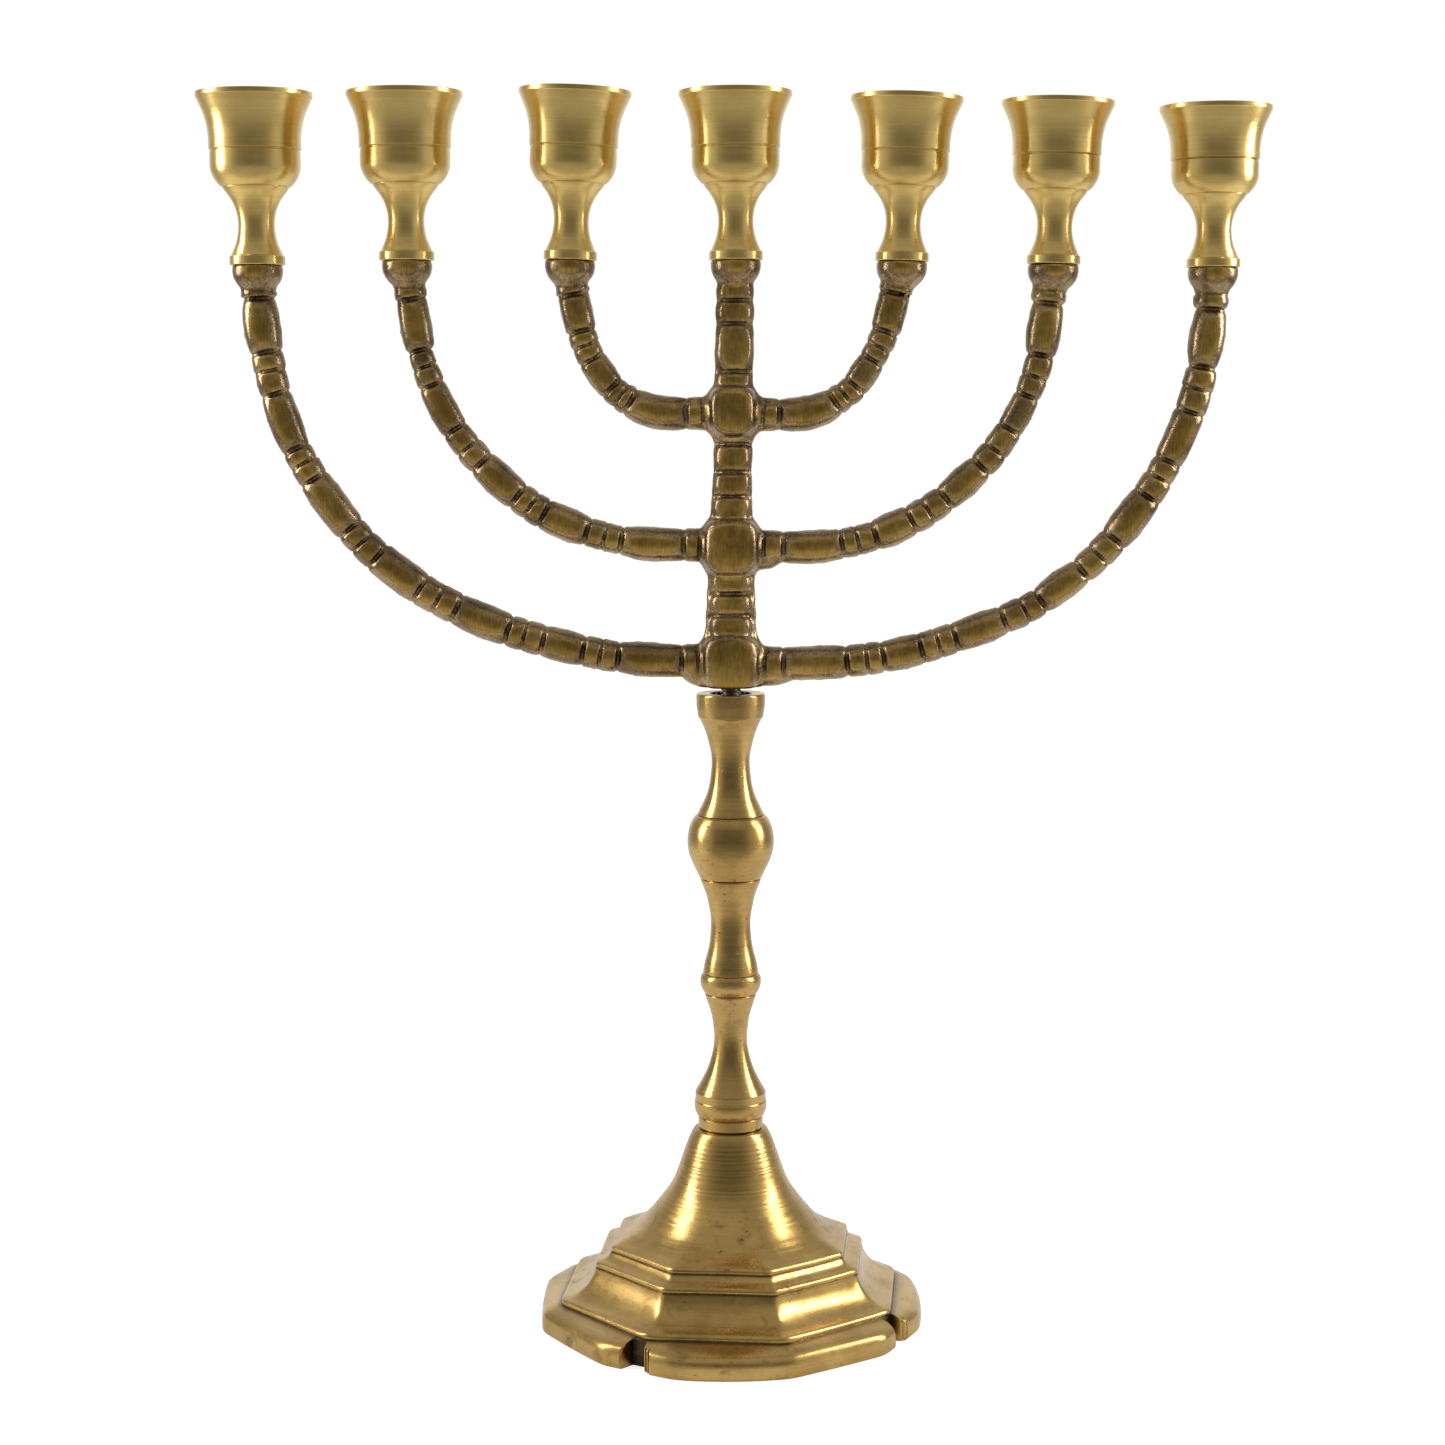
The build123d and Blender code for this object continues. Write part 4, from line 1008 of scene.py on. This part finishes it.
def surface_nets(h):
    gx = np.arange(GX0, GX1 + h, h)
    gy = np.arange(-GY, GY + h, h)
    gz = np.arange(GZ0, GZ1 + h, h)
    X, Z = np.meshgrid(gx, gz, indexing="ij")
    xf, zf = X.ravel(), Z.ravel()
    on = np.zeros(len(xf), bool)
    for arm in ARMS.values():
        on |= arm.coarse(xf, zf)[1] < 7.2
    on |= (np.abs(xf - 0.5) < 21) & (zf < 304)
    for i in range(7):
        on |= (np.abs(xf - CUP_X[i]) < 9.5) & (zf > CUP_Z[i] - 10)
    cols = np.nonzero(on)[0]
    vol = np.full((len(gx), len(gz), len(gy)), 5.0, np.float32)
    flat = vol.reshape(-1, len(gy))
    for k in range(0, len(cols), 20000):
        c = cols[k:k + 20000]
        flat[c] = field(xf[c], zf[c], gy[None, :])
    vol = vol.transpose(0, 2, 1)           # x, y, z
    ins = vol < 0
    cnt = np.zeros(tuple(s - 1 for s in ins.shape), np.int8)
    sl = [(slice(0, -1), slice(1, None))[b] for b in (0, 1)]
    for a in (0, 1):
        for b in (0, 1):
            for c in (0, 1):
                cnt += ins[sl[a], sl[b], sl[c]]
    act = (cnt > 0) & (cnt < 8)
    ci = np.argwhere(act)
    vid = np.full(act.shape, -1, np.int32)
    vid[act] = np.arange(len(ci))
    cor = np.stack([vol[ci[:, 0] + a, ci[:, 1] + b, ci[:, 2] + c] for a in (0, 1) for b in (0, 1) for c in (0, 1)], -1)
    offs = np.array([(a, b, c) for a in (0, 1) for b in (0, 1) for c in (0, 1)], float)
    acc = np.zeros((len(ci), 3))
    num = np.zeros(len(ci))
    for p in range(8):
        for q in range(p + 1, 8):
            if np.abs(offs[p] - offs[q]).sum() != 1:
                continue
            dp, dq = cor[:, p], cor[:, q]
            cross = (dp < 0) != (dq < 0)
            t = np.where(cross, dp / np.where(cross, dp - dq, 1), 0)
            pos = offs[p] + (offs[q] - offs[p]) * t[:, None]
            acc += np.where(cross[:, None], pos, 0)
            num += cross
    co = (ci + acc / num[:, None]) * h + np.array([gx[0], gy[0], gz[0]])
    quads = []
    for ax in range(3):
        b, c = (ax + 1) % 3, (ax + 2) % 3
        s0 = [slice(None)] * 3
        s1 = [slice(None)] * 3
        s0[ax], s1[ax] = slice(0, -1), slice(1, None)
        e = ins[tuple(s0)] != ins[tuple(s1)]
        pe = np.argwhere(e)
        pe = pe[(pe[:, b] > 0) & (pe[:, c] > 0) & (pe[:, b] < ins.shape[b] - 1) & (pe[:, c] < ins.shape[c] - 1)]
        first = ins[pe[:, 0], pe[:, 1], pe[:, 2]]
        ub, uc = np.eye(3, dtype=int)[b], np.eye(3, dtype=int)[c]

        def v(db, dc):
            k = pe + ub * db + uc * dc
            return vid[k[:, 0], k[:, 1], k[:, 2]]

        qd = np.stack([v(-1, -1), v(0, -1), v(0, 0), v(-1, 0)], -1)
        qd = np.where(first[:, None], qd, qd[:, ::-1])
        quads.append(qd)
    return co, np.vstack(quads)


def project(co, rounds=3, e=0.04, limit=0.25):
    for _ in range(rounds):
        f = field(co[:, 0], co[:, 2], co[:, 1])
        g = np.stack([field(co[:, 0] + e, co[:, 2], co[:, 1]) - f, field(co[:, 0], co[:, 2], co[:, 1] + e) - f,
                      field(co[:, 0], co[:, 2] + e, co[:, 1]) - f], -1) / e
        step = (f / np.maximum((g ** 2).sum(1), 0.2))[:, None] * g
        ln = np.linalg.norm(step, axis=1)
        step *= np.minimum(1, limit / np.maximum(ln, 1e-9))[:, None]
        co = co - step
    return co, g / np.maximum(np.linalg.norm(g, axis=1), 1e-6)[:, None]


def casting_mesh():
    h = 0.66
    co, quads = surface_nets(h)
    co, nrm = project(co)
    # curvature from the neighbours: hollows hold patina, ridges are rubbed bright
    e = np.vstack([quads[:, [0, 1]], quads[:, [1, 2]], quads[:, [2, 3]], quads[:, [3, 0]]])
    n = len(co)
    deg = np.bincount(e[:, 0], minlength=n).astype(float) + np.bincount(e[:, 1], minlength=n)

    def mean(v):
        return (np.bincount(e[:, 0], v[e[:, 1]], n) + np.bincount(e[:, 1], v[e[:, 0]], n)) / deg

    lap = np.stack([mean(co[:, a]) for a in range(3)], -1) - co
    cur = (lap * nrm).sum(1) / (h * h)
    for _ in range(2):
        cur = 0.5 * cur + 0.5 * mean(cur)
    cav = smooth(0.10, 0.42, cur)
    edge = smooth(0.20, 0.55, -cur)
    for _ in range(2):
        cav = 0.4 * cav + 0.6 * mean(cav)
    wide = cav.copy()
    for _ in range(6):
        wide = mean(wide)
    cav = np.clip(np.maximum(cav, wide * 1.1), 0, 1)
    flat = smooth(0.86, 0.96, np.abs(nrm[:, 1])) * smooth(3.1, 3.5, np.abs(co[:, 1]))
    # machined faces keep true: seats, holes, underside
    keep = np.zeros(n, bool)
    keep |= (co[:, 2] < 186.3) | (np.hypot(co[:, 0], co[:, 1]) < 3.4)
    for i in range(7):
        keep |= (np.hypot(co[:, 0] - CUP_X[i], co[:, 1]) < 8.5) & (co[:, 2] > CUP_Z[i] - 0.9)
        keep |= (np.hypot(co[:, 0] - CUP_X[i], co[:, 1]) < 2.6) & (co[:, 2] > CUP_Z[i] - 10)
    rough = 1 - flat
    amp = 0.034 * noise(co / 1.25, 3) + 0.036 * noise(co / 2.6, 5) + 0.085 * noise(co / 6.5, 9)
    hub = np.zeros(n)
    for hx, hz, a, b, c, fl in HUBS:
        hub = np.maximum(hub, 1 - smooth(8, 17, np.hypot(co[:, 0] - hx, co[:, 2] - hz)))
    hub = np.maximum(hub, 0.6 * (np.abs(co[:, 0] - 0.6) < 8))
    amp = amp * (1 + 1.0 * hub)
    amp = np.where(keep, 0, amp * rough)
    co = co + nrm * amp[:, None]
    co = co + nrm * (np.where(keep, 0, 0.035 * noise(co / 5.0, 21) * flat))[:, None]
    ob = mesh_object("branches_cast", co, quads)
    for name, v in (("flat", flat), ("cav", cav), ("edge", edge)):
        at = ob.data.attributes.new(name, "FLOAT", "POINT")
        at.data.foreach_set("value", v.astype(np.float32))
    print("casting faces", len(quads), "verts", len(co))
    return ob


dress(casting_mesh(), CAST, "head", "cast_brass", "branch_casting")

# ================================================================== floor, light and camera
floor_me = bpy.data.meshes.new("studio_floor")
floor_me.from_pydata([(-0.6, -0.16, 0), (0.6, -0.16, 0), (0.6, 0.5, 0), (1.5, 4.0, 0), (-1.5, 4.0, 0), (-0.6, 0.5, 0)], [],
                     [(0, 1, 2, 5), (5, 2, 3, 4)])
floor = bpy.data.objects.new("studio_floor", floor_me)
SCENE.collection.objects.link(floor)
fm = bpy.data.materials.new("studio_floor_white")
fm.use_nodes = True
ft = fm.node_tree
fp = ft.nodes["Principled BSDF"]
fp.inputs["Base Color"].default_value = (0.62, 0.62, 0.61, 1)
fp.inputs["Roughness"].default_value = 0.9
fp.inputs["Specular IOR Level"].default_value = 0.0
fp.inputs["Emission Color"].default_value = (1, 1, 1, 1)
fp.inputs["Emission Strength"].default_value = 0.32
f_add = ft.nodes.new("ShaderNodeAddShader")
f_mix = ft.nodes.new("ShaderNodeMixShader")
f_lit = ft.nodes.new("ShaderNodeEmission")
f_lit.inputs["Strength"].default_value = 0.45
f_lp = ft.nodes.new("ShaderNodeLightPath")
ft.links.new(fp.outputs[0], f_add.inputs[0])
ft.links.new(f_lit.outputs[0], f_add.inputs[1])
ft.links.new(f_lp.outputs["Is Camera Ray"], f_mix.inputs[0])
ft.links.new(fp.outputs[0], f_mix.inputs[1])
ft.links.new(f_add.outputs[0], f_mix.inputs[2])
ft.links.new(f_mix.outputs[0], ft.nodes["Material Output"].inputs[0])
floor_me.materials.append(fm)

world = bpy.data.worlds.new("studio_world")
SCENE.world = world
world.use_nodes = True
wt = world.node_tree
wt.nodes.clear()
w_out = wt.nodes.new("ShaderNodeOutputWorld")
w_cam = wt.nodes.new("ShaderNodeBackground")
w_cam.inputs["Color"].default_value = (1, 1, 1, 1)
w_cam.inputs["Strength"].default_value = 1.0
w_env = wt.nodes.new("ShaderNodeBackground")
w_mix = wt.nodes.new("ShaderNodeMixShader")
w_lp = wt.nodes.new("ShaderNodeLightPath")
w_tc = wt.nodes.new("ShaderNodeTexCoord")
w_sep = wt.nodes.new("ShaderNodeSeparateXYZ")
wt.links.new(w_tc.outputs["Generated"], w_sep.inputs[0])


def wmath(op, a, b=0.0, clamp=False):
    n = wt.nodes.new("ShaderNodeMath")
    n.operation = op
    n.use_clamp = clamp
    for k, v in enumerate((a, b)):
        if isinstance(v, bpy.types.NodeSocket):
            wt.links.new(v, n.inputs[k])
        else:
            n.inputs[k].default_value = v
    return n.outputs[0]


wx, wy, wz = w_sep.outputs
flatlen = wmath("SQRT", wmath("ADD", wmath("ADD", wmath("MULTIPLY", wx, wx), wmath("MULTIPLY", wy, wy)), 1e-5))
towards = wmath("MULTIPLY", wmath("DIVIDE", wy, flatlen), -1.0)        # 1 is the open room in front, -1 the white backdrop
fac = wmath("MULTIPLY", wmath("ADD", towards, 1.0), 0.5, True)
ramp = wt.nodes.new("ShaderNodeValToRGB")
ramp.color_ramp.interpolation = "B_SPLINE"
wt.links.new(fac, ramp.inputs[0])
stops = [(0.0, 0.90), (0.065, 0.84), (0.16, 0.38), (0.38, 0.30), (0.55, 0.36), (0.62, 0.58), (0.76, 0.56), (0.86, 0.24), (1.0, 0.13)]
while len(ramp.color_ramp.elements) > 1:
    ramp.color_ramp.elements.remove(ramp.color_ramp.elements[-1])
for k, (pos, v) in enumerate(stops):
    el = ramp.color_ramp.elements[0] if k == 0 else ramp.color_ramp.elements.new(pos)
    el.position = pos
    el.color = (v, v, v * 0.98, 1)
# the ceiling is an even mid tone
upness = wt.nodes.new("ShaderNodeMapRange")
upness.interpolation_type = "SMOOTHSTEP"
wt.links.new(wz, upness.inputs["Value"])
upness.inputs["From Min"].default_value = 0.30
upness.inputs["From Max"].default_value = 0.85
wmixc = wt.nodes.new("ShaderNodeMix")
wmixc.data_type = "RGBA"
wt.links.new(upness.outputs["Result"], wmixc.inputs["Factor"])
wt.links.new(ramp.outputs[0], wmixc.inputs[6])
wmixc.inputs[7].default_value = (0.47, 0.47, 0.46, 1)
below = wt.nodes.new("ShaderNodeMapRange")
below.interpolation_type = "SMOOTHSTEP"
wt.links.new(wz, below.inputs["Value"])
below.inputs["From Min"].default_value = -0.05
below.inputs["From Max"].default_value = -0.45
wmixd = wt.nodes.new("ShaderNodeMix")
wmixd.data_type = "RGBA"
wt.links.new(below.outputs["Result"], wmixd.inputs["Factor"])
wt.links.new(wmixc.outputs[2], wmixd.inputs[6])
wmixd.inputs[7].default_value = (0.42, 0.415, 0.40, 1)
wt.links.new(wmixd.outputs[2], w_env.inputs["Color"])
w_env.inputs["Strength"].default_value = 1.0
wt.links.new(w_lp.outputs["Is Camera Ray"], w_mix.inputs[0])
wt.links.new(w_env.outputs[0], w_mix.inputs[1])
wt.links.new(w_cam.outputs[0], w_mix.inputs[2])
wt.links.new(w_mix.outputs[0], w_out.inputs[0])


def strip(name, loc, target, size, watts):
    li = bpy.data.lights.new(name, "AREA")
    li.shape = "RECTANGLE"
    li.size, li.size_y = size
    li.energy = watts
    ob = bpy.data.objects.new(name, li)
    ob.location = loc
    ob.rotation_euler = (Vector(target) - Vector(loc)).to_track_quat("-Z", "Y").to_euler()
    SCENE.collection.objects.link(ob)
    ob.visible_camera = False
    return ob


strip("softbox_left", (-0.70, -0.02, 0.49), (0, 0, 0.36), (0.17, 0.58), 3.3)
strip("softbox_right", (0.70, 0.01, 0.49), (0, 0, 0.36), (0.18, 0.58), 3.5)

cam = bpy.data.cameras.new("photo_camera")
cam.sensor_width = 36.0
cam.lens = 68.21
cam.clip_start, cam.clip_end = 0.05, 50
cam_ob = bpy.data.objects.new("photo_camera", cam)
cam_ob.location = (-0.00237, -0.783, 0.266)
cam_ob.rotation_euler = (math.radians(90 - 6.58), 0, 0)
SCENE.collection.objects.link(cam_ob)
SCENE.camera = cam_ob
SCENE.view_settings.view_transform = "Standard"
SCENE.view_settings.look = "None"
